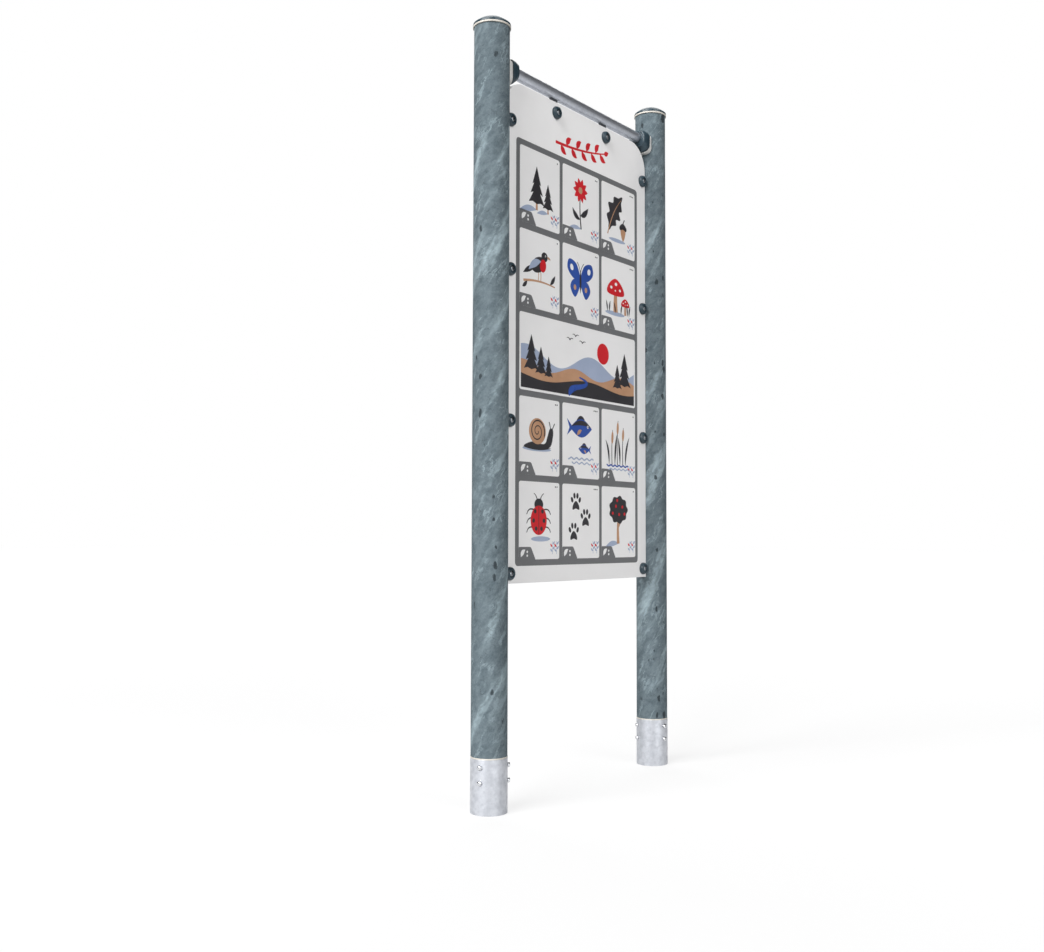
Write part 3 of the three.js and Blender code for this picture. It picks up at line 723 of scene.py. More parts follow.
def keyed(rows, across_flats):
    """Rows of (radius, height, flatness). A row's reach is its own radius where flatness is 0, and that of
    the key's hexagon, scaled by the row's radius, where it is 1."""
    radius, height, flat = np.asarray(rows, float).T
    round_part = (radius * (1 - flat))[:, None]
    return around(round_part + (radius * flat)[:, None] * hexagon(across_flats), height)


def button_head(head, rise, key, seat=0.0):
    """Rows of a head from its rim to the middle of the key hole. The dome is a quarter of an ellipse
    between the rim and the flat round the key hole."""
    brim = BRIM_SHARE * rise
    flat = key / 2 / math.cos(math.pi / 6) + KEY_LAND
    dome = ellipse(quarter(10), head - flat, rise - brim) + (flat, seat + brim)
    dome = np.column_stack([dome, 0 * dome[:, 0]])
    top, floor = seat + rise, seat + rise - KEY_DEPTH
    hole = [[1.05, top - 0.02, 1], [1, top - HEAD_EASING, 1], [1, floor, 1], [0, floor - CHAMFER, 1]]
    return np.concatenate([[[head - HEAD_EASING, seat, 0]], dome, hole])


# %% Foot screws
FOOT_SCREW_HEAD = 7.3
FOOT_SCREW_RISE = 6
FOOT_SCREW_KEY = 5
FOOT_SCREW_SHANK = 4
FOOT_SCREW_LENGTH = 28
FOOT_SCREW_SEAT = 0.3


def foot_screw_shell():
    """The shank's rows, then the head's."""
    shank = [[0, -FOOT_SCREW_LENGTH, 0], [FOOT_SCREW_SHANK - CHAMFER, -FOOT_SCREW_LENGTH, 0],
             [FOOT_SCREW_SHANK, CHAMFER - FOOT_SCREW_LENGTH, 0], [FOOT_SCREW_SHANK, 0, 0]]
    head = button_head(FOOT_SCREW_HEAD, FOOT_SCREW_RISE, FOOT_SCREW_KEY)
    return keyed(np.concatenate([shank, head]), FOOT_SCREW_KEY)


for side, facing in SIDES.items():
    for number in range(1, 7):
        middle = span(f"{side}_foot_screw_{number}").mean(axis=0)
        out = math.degrees(math.atan2(middle[1], middle[0] - facing * post_centre))
        seated = carried(foot_screw_shell(), Z_TO_X, (foot_radius + FOOT_SCREW_SEAT, 0, 0))
        screw = carried(seated, spin(out), (facing * post_centre, 0, middle[2]))
        make_piece(f"{side}_foot_button_screw_{number}", [screw], stainless,
                   f"{side}_foot_screw_{number}")
print("foot screw faces", piece_sizes["left_foot_button_screw_1"])

# %% [markdown]
# A board bolt has its head in the seat of a moulded cap, and its hexagon nut behind the board. The nut's
# corners are chamfered, and the bolt's end shows a few turns of thread.

# %% Board bolts
BOLT_SHANK = 5
BOLT_HEAD = 8.3
BOLT_HEAD_RISE = 6.3
BOLT_KEY = 6
BOLT_SEAT = 6
BOLT_TAIL = 4
NUT_FLATS = 17
NUT_HEIGHT = 8
THREAD_PITCH = 1.5
THREAD_DEPTH = 0.8
# Each end of the nut as steps of (how far in, radius)
NUT_CHAMFER = np.array([(0, 4), (0, 8.3), (0.5, 9.1), (1.2, 10)])
board_back = board_low[1] - board_high[1]
nut_back = board_back - NUT_HEIGHT


def bolt_shell():
    """From the threaded tail, whose radius goes in and out with every half pitch, along the shank and
    over the head."""
    tail, root = nut_back - BOLT_TAIL, BOLT_SHANK - THREAD_DEPTH
    heights = np.arange(tail + CHAMFER, nut_back + 1, THREAD_PITCH / 2)
    crest = np.where(np.arange(len(heights)) % 2 == 0, BOLT_SHANK, root)
    thread = np.stack([crest, heights, 0 * heights], axis=-1)
    head = button_head(BOLT_HEAD, BOLT_HEAD_RISE, BOLT_KEY, BOLT_SEAT)
    rows = [[[0, tail, 0], [root, tail, 0]], thread, [[BOLT_SHANK, BOLT_SEAT, 0]], head]
    return keyed(np.concatenate(rows), BOLT_KEY)


def nut_shell():
    """A hexagon whose two ends shrink to circles: the outline is the smaller of the hexagon and a circle
    that grows from the flats at the end to the corners a little further in."""
    far_in, radius = NUT_CHAMFER.T
    heights = np.concatenate([nut_back + far_in, board_back - far_in[::-1]])
    circle = np.concatenate([radius, radius[::-1]])
    points, faces = around(np.minimum(hexagon(NUT_FLATS), circle[:, None]), heights)
    first = np.arange(SCREW_SEGMENTS)
    return points, [*faces, first, first + len(points) - SCREW_SEGMENTS]


# %% [markdown]
# The moulded cap under each bolt head is a smooth hump with a sunk seat. Its lip is round, and its foot
# meets the board in a short upright rim.

# %% Fastener caps
BOSS_RADIUS = 19
BOSS_RISE = 12.5
BOSS_RIM = 2.5
BOSS_MOUTH = 9.5
BOSS_HOLE = 5.3
BOSS_FLOOR = 3
BOSS_SEGMENTS = 72


def boss_shell():
    """Outside the hump is a quarter of an ellipse from rim to lip, and inside it drops to the seat."""
    lip = BOSS_MOUTH + BOSS_RIM
    flank = ellipse(quarter(18), BOSS_RADIUS - lip, BOSS_RISE - BOSS_RIM) + (lip, BOSS_RIM)
    start = [BOSS_HOLE, BOSS_FLOOR]
    foot = rounded([start, [BOSS_HOLE, 0], [BOSS_RADIUS, 0], flank[0]], [0.2, 0.5])
    mouth = rounded([flank[-1], [BOSS_MOUTH, BOSS_RISE], [BOSS_MOUTH, BOLT_SEAT],
                     [BOSS_HOLE, BOLT_SEAT], start], [1.3, 0.4, 0.2])
    return turned(np.concatenate([foot, flank[1:-1], mouth]), BOSS_SEGMENTS)


fixings = [f"{side}_side_{row}" for side in SIDES for row in range(1, 5)]
fixings += [f"{side}_top" for side in SIDES]
for fixing in fixings:
    spot = span(f"{fixing}_fastener_cap").mean(axis=0) * (1, 0, 1) + (0, board_low[1], 0)
    boss, bolt, nut = (carried(shell, Z_TO_MINUS_Y, spot)
                       for shell in (boss_shell(), bolt_shell(), nut_shell()))
    make_piece(f"{fixing}_moulded_cap", [boss], slate_plastic, f"{fixing}_fastener_cap")
    make_piece(f"{fixing}_board_bolt", [bolt, nut], steel_painted_shade, f"{fixing}_bolt")
print("cap and bolt faces", piece_sizes["left_top_moulded_cap"], piece_sizes["left_top_board_bolt"])

# %% [markdown]
# ## Rail brackets and gaskets
#
# The bracket that holds the tube is one moulding: a saddle that fits the round post, a flange, and a nose
# that narrows to the tube's socket. Seen from its end it is a rectangle with very round corners all the way,
# so it can be lofted: rings of the same number of points, one behind the other. Its back is a fan of rings
# that shrink to a point on the saddle, and its front turns from the round-cornered outline to the circle of
# the socket.

# %% Outline of a bracket
RAIL_RADIUS = 16.85
CORNER_SHARE = 0.33
CORNER_STEPS = 16
FLAT_STEPS = 22
rail_half, _, rail_top = span("top_rail")[1]
rail_z = rail_top - RAIL_RADIUS


def end_size(node):
    """What a node measures seen along the rail: width, height, and its top over the rail's axis."""
    low, high = span(node)
    return high[1] - low[1], high[2] - low[2], high[2] - rail_z


def joined(parts, steps):
    """A closed outline: its parts, with straight runs between them, each run cut in equal steps."""
    run = np.linspace(0, 1, steps + 1)[1:-1, None]
    path = []
    for part, following in zip(parts, parts[1:] + parts[:1]):
        path += [part, part[-1] + run * (following[0] - part[-1])]
    return np.concatenate(path)


def outline(width, height, top):
    """A rectangle with round corners: quarter circles round four centres, joined by straight runs. Gives
    (y, z) for points that run the same way round at any size."""
    corner = CORNER_SHARE * width
    centres = np.array([[1, 1], [-1, 1], [-1, -1], [1, -1]]) * (width / 2 - corner, height / 2 - corner)
    arcs = [centre + ellipse(quarter(CORNER_STEPS) + number * np.pi / 2, corner)
            for number, centre in enumerate(centres)]
    return joined(arcs, FLAT_STEPS) + (0, top - height / 2)


def stacked(rings):
    """Joins rings of points, each an array of (x, y, z), to one shell."""
    rings = np.asarray(rings)
    return rings.reshape(-1, 3), grid_faces(*rings.shape[:2])


def standing(ring, x):
    """Puts (y, z) points on the upright plane at x."""
    return np.column_stack([np.full(len(ring), x), ring])


def on_saddle(ring, radius):
    """Puts (y, z) points on an upright cylinder round the post's axis: x = sqrt(r r - y y)."""
    return np.column_stack([np.sqrt(radius ** 2 - ring[:, 0] ** 2), ring])


def shrunk(ring, inset):
    """An outline drawn in by a distance on all sides, by scaling its width and height round its middle."""
    middle = (ring.max(axis=0) + ring.min(axis=0)) / 2
    half = ring.max(axis=0) - middle
    return middle + (ring - middle) * (half - inset) / half


# %% [markdown]
# A saddle face is a fan of rings round its middle. Its edge is a quarter round of rings that are drawn in.

# %% Saddle faces and gaskets
GASKET_INSIDE = 50.3
GASKET_OUTSIDE = 64.9
GASKET_EDGE = 1.2
FAN = [0.0, 0.3, 0.6, 0.85]


def saddle_face(full, radius, edge, steps, into=1):
    """Rings on a cylinder from the middle out to the edge, where a ring at angle a is drawn in by
    e (1 - sin a) and lies e (1 - cos a) into the body."""
    rings = [on_saddle(full * share, radius) for share in FAN]
    for angle in quarter(steps):
        ring = on_saddle(shrunk(full, edge * (1 - math.sin(angle))), radius)
        rings.append(ring + (into * edge * (1 - math.cos(angle)), 0, 0))
    return rings


def gasket_shell():
    """A pad between two cylinders."""
    full = outline(*end_size("left_rail_gasket"))
    inside = saddle_face(full, GASKET_INSIDE, GASKET_EDGE, 4)
    outside = saddle_face(full, GASKET_OUTSIDE, GASKET_EDGE, 4, -1)
    return stacked(inside + outside[::-1])


# %% Brackets
BRACKET_SADDLE = 65.2
BRACKET_EDGE = 0.8
FLANGE_FRONT = 70.9
NOSE_FRONT = 88.9
SIDE_DRAFT = 2.5
TOP_DRAFT = 2
FOOT_DRAFT = 11
NOSE_ROUND = 4
NOSE_RINGS = 24
NOTCH_RADIUS = 4.5
SOCKET_RADIUS = 17.15
SOCKET_FLOOR = 69.9
bracket_width, bracket_height, bracket_top = end_size("left_rail_bracket")
# The lip round the socket as steps of (how far in front of the nose, radius)
LIP = [(0, 20.8), (0.8, 20.6), (1.3, 20.1), (1.5, 19.3), (1.3, 18.3), (0.8, 17.6), (0, 17.2)]


def nose_ring(draft):
    """The outline where the nose has a given share of its draft: narrower on both sides, a little lower at
    the top and much higher underneath."""
    height = bracket_height - draft * (TOP_DRAFT + FOOT_DRAFT)
    return outline(bracket_width - 2 * draft * SIDE_DRAFT, height, bracket_top - draft * TOP_DRAFT)


def notched(rings):
    """Lifts the points under the flange over a half-round notch: z is at least
    foot + sqrt(n n - y y) where y is within the notch's radius n."""
    y, z = rings[..., 1], rings[..., 2]
    lift = np.sqrt(np.clip(NOTCH_RADIUS ** 2 - y ** 2, 0, None)) + bracket_top - bracket_height
    rings[..., 2] = np.where((np.abs(y) < NOTCH_RADIUS) & (z < 0), np.maximum(z, lift), z)
    return rings


def bracket_shell():
    """Fan on the saddle, flange, nose whose draft grows along a smooth S, rounded end, lip, and the
    socket down to its floor."""
    rings = saddle_face(nose_ring(0.0), BRACKET_SADDLE, BRACKET_EDGE, 6)
    nose_length = NOSE_FRONT - NOSE_ROUND - FLANGE_FRONT
    for along in np.linspace(0, 1, NOSE_RINGS):
        draft = 0.5 * along + 0.5 * along ** 2 * (3 - 2 * along)
        rings.append(standing(nose_ring(draft), FLANGE_FRONT + along * nose_length))
    for angle in quarter(6)[1:]:
        ring = shrunk(nose_ring(1.0), NOSE_ROUND * (1 - math.cos(angle)))
        rings.append(standing(ring, NOSE_FRONT - NOSE_ROUND * (1 - math.sin(angle))))
    last = rings[-1][:, 1:]
    circle = ellipse(np.arctan2(last[:, 1], last[:, 0]))
    rings.append(standing((last + circle * LIP[0][1]) / 2, NOSE_FRONT))
    rings += [standing(circle * radius, NOSE_FRONT + rise) for rise, radius in LIP]
    rings += [standing(circle * radius, SOCKET_FLOOR) for radius in (SOCKET_RADIUS, 0)]
    return stacked(notched(np.asarray(rings)))


make_pairs(("saddle_gasket", gasket_shell(), pale_rubber, "beige_plastic", "rail_gasket"),
           ("moulded_bracket", bracket_shell(), slate_plastic, "slate_plastic", "rail_bracket"),
           height=rail_z)

# %% [markdown]
# ## Rail
# The tube is plain, with its two ends inside the sockets. Two flat lugs are welded under it and reach down
# into slots in the board, where the top bolts go through them. They show as dark stretches in the slit, and
# their zinc is painted darker than the tube's, as painted shade.

# %% Rail
RAIL_WALL = 2.6
RAIL_EDGE = 0.5
RAIL_ROWS = 72
RAIL_RUN_IN = 2
RAIL_SEGMENTS = 96


def tube_shell():
    """A ring's profile, as long as the tube, turned round X. Rows along it keep the quads even."""
    along = np.linspace(RAIL_RUN_IN - rail_half, rail_half - RAIL_RUN_IN, RAIL_ROWS)
    outside = np.stack([np.full(RAIL_ROWS, RAIL_RADIUS), along], axis=-1)
    bore, face = RAIL_RADIUS - RAIL_WALL, RAIL_RADIUS - RAIL_EDGE
    profile = np.concatenate([[[bore, 0], [bore, -rail_half], [face, -rail_half],
                               [RAIL_RADIUS, RAIL_EDGE - rail_half]], outside,
                              [[RAIL_RADIUS, rail_half - RAIL_EDGE], [face, rail_half],
                               [bore, rail_half], [bore, 0]]])
    return carried(turned(profile, RAIL_SEGMENTS), Z_TO_X, (0, 0, rail_z))


make_piece("galvanised_rail", [tube_shell()], rail_zinc, "top_rail")
print("rail faces", piece_sizes["galvanised_rail"])


# %% Flat plates
def slab(path, back, front, edge=0.0):
    """A flat plate: the outline (x, z) between two depths y. With an edge its rims are quarter rounds, on
    which the outline is drawn in along its own normals by e (1 - sin a) while y moves by e (1 - cos a)."""
    ahead = np.roll(path, -1, axis=0)
    tangent = ahead - np.roll(path, 1, axis=0)
    normal = np.stack([tangent[:, 1], -tangent[:, 0]], axis=-1)
    normal /= np.linalg.norm(normal, axis=1)[:, None]
    normal *= np.sign(np.sum(path[:, 0] * ahead[:, 1] - ahead[:, 0] * path[:, 1]))
    turn = quarter(4) if edge else np.array([np.pi / 2])
    inset = edge * (1 - np.sin(turn))
    step = edge * (1 - np.cos(turn)) * np.sign(front - back)
    insets = np.concatenate([inset, inset[::-1]])
    depths = np.concatenate([back + step, front - step[::-1]])
    flat = path - insets[:, None, None] * normal
    depth = np.broadcast_to(depths[:, None], flat.shape[:2])
    points = np.stack([flat[..., 0], depth, flat[..., 1]], axis=-1).reshape(-1, 3)
    first = np.arange(len(path))
    return points, [*grid_faces(*flat.shape[:2]), first, first + len(points) - len(path)]


def rounded_plate(left, right, low, high, corners):
    """A rectangle's outline with its own radius at each corner, from low right round through high left."""
    middle = [(left + right) / 2, low]
    looped = [middle, [right, low], [right, high], [left, high], [left, low], middle]
    return rounded(looped, corners, 8)[:-1]


# %% Lugs and their welds
LUG_WIDTH = 34
LUG_HALF = 3
LUG_CORNER = 8
LUG_EDGE = 0.5
LUG_BELOW_BOLT = 20
LUG_INTO_RAIL = 1.4
BEAD = 2.2
BEAD_STEP = 2.6
BEAD_SINK = 0.4
BEAD_RIPPLE = 0.1
BEAD_ROWS = 79
BEAD_SEGMENTS = 14


def weld_shell(x_centre, front):
    """A bead along the top of a lug: a half-buried rod whose radius ripples like a stack of coins."""
    along = np.linspace(-LUG_WIDTH / 2, LUG_WIDTH / 2, BEAD_ROWS)
    taper = np.sqrt(np.clip(1 - (np.abs(along) / (LUG_WIDTH / 2)) ** 12, 0, 1))
    radius = BEAD * taper * (1 + BEAD_RIPPLE * np.cos(along / BEAD_STEP * 2 * np.pi))
    under = math.sqrt(RAIL_RADIUS ** 2 - LUG_HALF ** 2) - BEAD_SINK
    return carried(turned(np.stack([radius, along], axis=-1), BEAD_SEGMENTS), Z_TO_X,
                   (x_centre, front * LUG_HALF, rail_z - under))


top_bolt_x, _, top_bolt_z = span("right_top_fastener_cap").mean(axis=0)
lug_shells = []
for centre in (-top_bolt_x, top_bolt_x):
    lug = rounded_plate(centre - LUG_WIDTH / 2, centre + LUG_WIDTH / 2, top_bolt_z - LUG_BELOW_BOLT,
                        rail_z - RAIL_RADIUS + LUG_INTO_RAIL, [LUG_CORNER, 0, 0, LUG_CORNER])
    lug_shells += [slab(lug, -LUG_HALF, LUG_HALF, LUG_EDGE), weld_shell(centre, -1), weld_shell(centre, 1)]
make_piece("rail_lugs", lug_shells, lug_zinc_painted_shade, "top_rail")
print("lug faces", piece_sizes["rail_lugs"])

# %% [markdown]
# ## Board
#
# The board is a solid sheet with two large round corners at the top and square ones at the foot. Its edge is
# eased by a small radius, which catches a thin line of light.

# %% Board
BOARD_CORNER = 85
BOARD_EASING = 1.5
BOARD_RUN_STEPS = 23
face_y = board_low[1]


def board_path():
    """Up the right edge, round the two top corners, down the left edge, with a point every few
    centimetres on the straight runs."""
    half, low, high = board_high[0], board_low[2], board_high[2]
    right = ellipse(quarter(32), BOARD_CORNER) + (half - BOARD_CORNER, high - BOARD_CORNER)
    left = (right * (-1, 1))[::-1]
    return joined([np.array([[half, low]]), right, left, np.array([[-half, low]])], BOARD_RUN_STEPS)


make_piece("notice_board", [slab(board_path(), face_y, board_high[1], BOARD_EASING)], board_coat,
           "board")
print("board faces", piece_sizes["notice_board"])

# %% [markdown]
# ## Steel inside
#
# The tongues in the board's edges and the screws in the bracket sockets can't be seen on the standing sign.
# Their CAD solids stay, and only get their real finish.

# %% Finish the hidden steel
hidden = [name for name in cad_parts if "tongue" in name or "bracket_screw" in name]
for name in hidden:
    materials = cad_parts[name].data.materials
    materials.clear()
    materials.append(stainless if "screw" in name else rail_zinc)
print("hidden steel", len(hidden))

# %% [markdown]
# ## Print
#
# The board of such a sign carries a print: a grey field with light tiles, each with a picture. This one has
# plain nature pictures of its own, trees, flowers and small animals, and a wide landscape in its middle row.
# Every shape is a closed outline that gets the thickness of a coat of ink, and each lies a hair in front of
# the one drawn before it, so that no two faces share a plane.

# %% Field and tiles
INK = 0.2
HAIR = 0.015
FIELD = (-325.5, 322.5, 660, 1882)
FIELD_CORNER = 14
COLUMNS = [(-308.5, -113.8), (-98.5, 97.7), (112, 308)]
ROWS = [(1643, 1865), (1401, 1624), (1160, 1383), (919, 1142), (677.5, 900)]
WIDE_ROW = 2
TILE_CORNER = 9
tile_back = face_y - INK
tile_face = face_y - 2 * INK

field = rounded_plate(*FIELD, [FIELD_CORNER] * 4)
make_piece("print_field", [slab(field, face_y, tile_back)], inks["grey"])
places = []
for number, row in enumerate(ROWS):
    across = [(COLUMNS[0][0], COLUMNS[-1][1])] if number == WIDE_ROW else COLUMNS
    places += [(*column, *row) for column in across]
tiles = [slab(rounded_plate(*tile, [TILE_CORNER] * 4), tile_back, tile_face) for tile in places]
make_piece("print_tiles", tiles, inks["white"])
print("tiles", len(tiles))

# %% [markdown]
# A picture is a list of inks and outlines in millimetres from the tile's middle. Three kinds of outline make
# nearly everything: a ribbon for stems and lines, a leaf, which is a ribbon that comes to a point at both
# ends, and an oval. A blob is for the rest, such as a wing.

# %% Ribbons and leaves
def ribbon(path, widths):
    """The outline of a line: each point goes half the width to both sides, square to the path."""
    ahead = np.gradient(path, axis=0)
    across = np.stack([-ahead[:, 1], ahead[:, 0]], axis=-1) / np.linalg.norm(ahead, axis=1)[:, None]
    half = across * np.broadcast_to(widths, len(path))[:, None] / 2
    return np.concatenate([path + half, (path - half)[::-1]])


def line(path, first, last):
    """A ribbon along a bow of three points, or along a path, whose width goes evenly from first to last."""
    path = bow(*path) if len(path) == 3 else path
    return ribbon(path, np.linspace(first, last, len(path)))


def leaf(start, via, end, width, lobes=0):
    """A ribbon along a bow with the width w sin(pi t) (1 + 0.28 cos(2 pi n t)), where n is how many lobes it
    has. The ends are a trace wider than nothing, so that no two points fall together."""
    path = bow(start, via, end, 12 + 8 * lobes)
    t = np.linspace(0.002, 0.998, len(path))
    ripple = 1 + (0.28 * np.cos(2 * np.pi * lobes * t) if lobes else 0)
    return ribbon(path, width * np.sin(np.pi * t) * ripple)


# %% Ovals, blobs and waves
def oval(x, z, across, tall, lean=0, ripple=0.0, waves=0):
    """The point at angle a is (w/2 cos a, h/2 sin a) (1 + r cos(n a)), turned by a lean in degrees."""
    turn = np.linspace(0, 2 * np.pi, 28 + 6 * waves, endpoint=False)
    swell = (1 + ripple * np.cos(waves * turn))[:, None]
    ring = ellipse(turn, across / 2, tall / 2) * swell
    c, s = math.cos(math.radians(lean)), math.sin(math.radians(lean))
    return ring @ np.array([[c, s], [-s, c]]) + (x, z)


def blob(*points):
    """A smooth closed outline through points. Between b and c, with a before and d after them, it is
    b + t (c - a)/2 + t t (a - 5b/2 + 2c - d/2) + t t t (3(b - c) + d - a)/2."""
    middle = np.array(points, float)
    a, b, c, d = (np.roll(middle, shift, axis=0)[:, None] for shift in (1, 0, -1, -2))
    t = (np.arange(6) / 6)[None, :, None]
    path = b + t * (c - a) / 2 + t ** 2 * (a - 2.5 * b + 2 * c - d / 2) + t ** 3 * (3 * (b - c) + d - a) / 2
    return path.reshape(-1, 2)


def wave(left, right, z, rise, length, width):
    """A ribbon along z + h sin(2 pi x / l)."""
    x = np.linspace(left, right, 40)
    return ribbon(np.stack([x, z + rise * np.sin(2 * np.pi * x / length)], axis=-1), width)


# %% Inks and places
def inked(*layers):
    """Layers of an ink's name and its outlines, as one list in which every outline has its ink."""
    return [(ink, shape) for ink, *shapes in layers for shape in shapes]


def moved(shapes, x, z, size=1.0, facing=1):
    """The same picture elsewhere, larger or smaller, or turned to face the other way."""
    return [(ink, shape * (size * facing, size) + (x, z)) for ink, shape in shapes]


# %% Trees
def fir(height, shaded=True):
    """A trunk and three skirts of needles, each narrower than the one below, over a shadow to the left."""
    shadow = [leaf((0, 0), (-0.3, 0.02), (-0.62, -0.1), 0.14)] if shaded else []
    skirts = [np.array([(-reach, low), (-reach / 2, low + 0.04), (0, low), (reach / 2, low + 0.04),
                        (reach, low), (0, high)])
              for low, high, reach in ((0.14, 0.58, 0.3), (0.36, 0.8, 0.23), (0.58, 1.0, 0.16))]
    trunk = line([(0, 0), (0, 0.1), (0, 0.25)], 0.08, 0.06)
    return moved(inked(("shadow", *shadow), ("tan", trunk), ("charcoal", *skirts)), 0, 0, height)


def fruit_tree():
    """A crown with a wavy rim on a forked trunk, and fruit in the crown."""
    trunk = [line([(0, -82), (-4, -40), (0, 10)], 17, 9), line([(-2, -30), (10, -14), (24, 4)], 8, 5)]
    fruit = [oval(x, z, 11, 11) for x, z in ((-34, 22), (-14, 46), (6, 18), (26, 44), (40, 20), (-6, 66))]
    return inked(("shadow", leaf((4, -82), (-36, -76), (-78, -92), 18)), ("tan", *trunk),
                 ("charcoal", oval(2, 34, 112, 92, 0, 0.07, 9)), ("red", *fruit))


def oak():
    """A lobed leaf with its midrib, and an acorn under it."""
    return inked(("shadow", oval(-4, -78, 104, 13)),
                 ("charcoal", leaf((-56, -50), (-30, 26), (30, 82), 70, 4)),
                 ("tan", line([(-64, -64), (-32, 24), (22, 70)], 5, 1.5),
                  blob((34, -22), (50, -40), (34, -74), (18, -40))),
                 ("charcoal", blob((34, -10), (56, -24), (52, -36), (34, -31), (16, -36), (12, -24)),
                  line([(34, -14), (36, -4), (44, 4)], 5, 4)))


# %% Flowers, reeds and mushrooms
def flower():
    """Petals all round a disc, on a bent stem with two leaves."""
    heart = np.array([0, 44])
    petals = [leaf(heart + 7 * out, heart + 24 * out, heart + 42 * out, 17) for out in ellipse(angles(10))]
    return inked(("shadow", leaf((4, -86), (-30, -80), (-66, -92), 14)),
                 ("charcoal", line([(0, 40), (-8, -20), (4, -86)], 4, 6),
                  leaf((-1, -40), (24, -40), (46, -6), 20), leaf((-1, -54), (-30, -52), (-46, -22), 18)),
                 ("red", *petals), ("tan", oval(*heart, 22, 22)))


def reeds():
    """Three bulrushes with their brown heads, blades between them, and the water at their feet."""
    layers = []
    for x, top in ((-38, 44), (-4, 78), (30, 56)):
        layers += [("charcoal", line([(x, -76), (x - 4, 0), (x + 4, top)], 4, 2.5)),
                   ("tan", oval(x + 2, top - 26, 13, 42, -4))]
    blades = [leaf((x, -78), (x, -20), (x + lean, top), 10)
              for x, lean, top in ((-56, -22, 8), (-20, 14, 34), (12, -12, 20), (46, 26, 26))]
    return inked(*layers, ("charcoal", *blades), ("blue", wave(-72, 66, -78, 2.5, 26, 5)),
                 ("shadow", wave(-60, 74, -90, 2.5, 26, 4)))


def mushroom():
    """A ribbed stem, a domed cap and light spots on it."""
    spots = [oval(*spot) for spot in ((-26, 16, 13, 10), (2, 30, 15, 11), (26, 12, 12, 9), (-2, 8, 8, 6))]
    return inked(("tan", line([(0, -64), (-3, -30), (0, 2)], 26, 17)),
                 ("red", blob((-50, -2), (-40, 26), (0, 48), (40, 26), (50, -2), (0, -9))),
                 ("white", *spots))


def mushrooms():
    """A large and a small one among blades of grass."""
    grass = [leaf((x, -72), (x, -52), (x + lean, -34), 7)
             for x, lean in ((-66, -8), (-54, 6), (-16, -10), (20, 9), (62, -6), (72, 8))]
    return [("shadow", oval(-18, -74, 122, 15)), *moved(mushroom(), -14, -2, 1.05),
            *moved(mushroom(), 48, -38, 0.52), *inked(("charcoal", *grass))]


# %% Animals with wings
def bird():
    """Body, head, tail and wing are ovals and leaves, with a red breast. It sits on a branch."""
    return inked(("tan", line([(-82, -50), (0, -34), (84, -46)], 8, 4)),
                 ("charcoal", leaf((58, -42), (74, -30), (86, -8), 14),
                  leaf((-62, -48), (-74, -64), (-88, -70), 13)),
                 ("tan", line([(-4, -10), (-2, -26), (-6, -40)], 3, 3),
                  line([(8, -10), (10, -24), (8, -38)], 3, 3)),
                 ("charcoal", leaf((-20, 4), (-52, -6), (-84, -26), 18), oval(-4, 12, 78, 48, 24),
                  oval(28, 42, 33, 31)), ("red", oval(20, 12, 32, 42, -12)),
                 ("shadow", leaf((10, 24), (-24, 22), (-56, -12), 24)),
                 ("tan", leaf((42, 44), (50, 43), (60, 38), 8)),
                 ("white", oval(33, 46, 6, 6)), ("charcoal", oval(33.6, 46, 3, 3)))


def butterfly():
    """Two wings on one side, the same mirrored, and a body with its feelers."""
    half = inked(("blue", blob((2, 6), (22, 54), (64, 66), (74, 34), (42, 6)),
                  blob((2, 2), (40, 2), (58, -26), (32, -56), (8, -26))),
                 ("white", oval(50, 40, 18, 22, -30)), ("tan", oval(32, -24, 15, 18)),
                 ("charcoal", line([(1, 30), (6, 52), (20, 62)], 2, 2.5)))
    return [*half, *moved(half, 0, 0, 1, -1), ("charcoal", leaf((0, -40), (0, 0), (0, 38), 11))]


def ladybird():
    """A red beetle from above: legs, feelers, head, a shell with a parting, and spots on both halves."""
    legs = [line([(side * 22, z), (side * 54, z + 10), (side * 62, z - 14)], 5, 3)
            for side in (-1, 1) for z in (-32, -4, 24)]
    feelers = [line([(side * 7, 54), (side * 14, 72), (side * 26, 76)], 4, 2) for side in (-1, 1)]
    spots = [oval(side * x, z, 14, 14) for side in (-1, 1) for x, z in ((19, 20), (27, -9), (14, -34))]
    return inked(("shadow", oval(10, -66, 100, 16)), ("charcoal", *legs, *feelers, oval(0, 42, 46, 36)),
                 ("red", oval(0, -8, 84, 92)), ("charcoal", line([(0, 36), (0, -8), (0, -53)], 3, 3), *spots))


# %% Animals without wings
def fish():
    """A body that comes to a point, a forked tail, fins, an eye, and waves under it."""
    body = inked(("blue", np.array([(-44, 0), (-80, 30), (-66, 0), (-80, -26)], float)),
                 ("charcoal", leaf((-30, 16), (4, 52), (30, 14), 20)),
                 ("blue", leaf((-62, 0), (4, 2), (66, 2), 62)),
                 ("charcoal", leaf((-56, 4), (4, 34), (62, 6), 17)),
                 ("tan", leaf((6, -4), (-12, -10), (-22, -24), 14)),
                 ("white", oval(42, 8, 10, 10)), ("charcoal", oval(43, 8, 5, 5)))
    return [*moved(body, 2, 34, 0.98), *moved(body, 22, -34, 0.5, -1),
            *inked(("shadow", wave(-70, 76, -66, 3, 30, 5), wave(-50, 60, -80, 3, 30, 4)))]


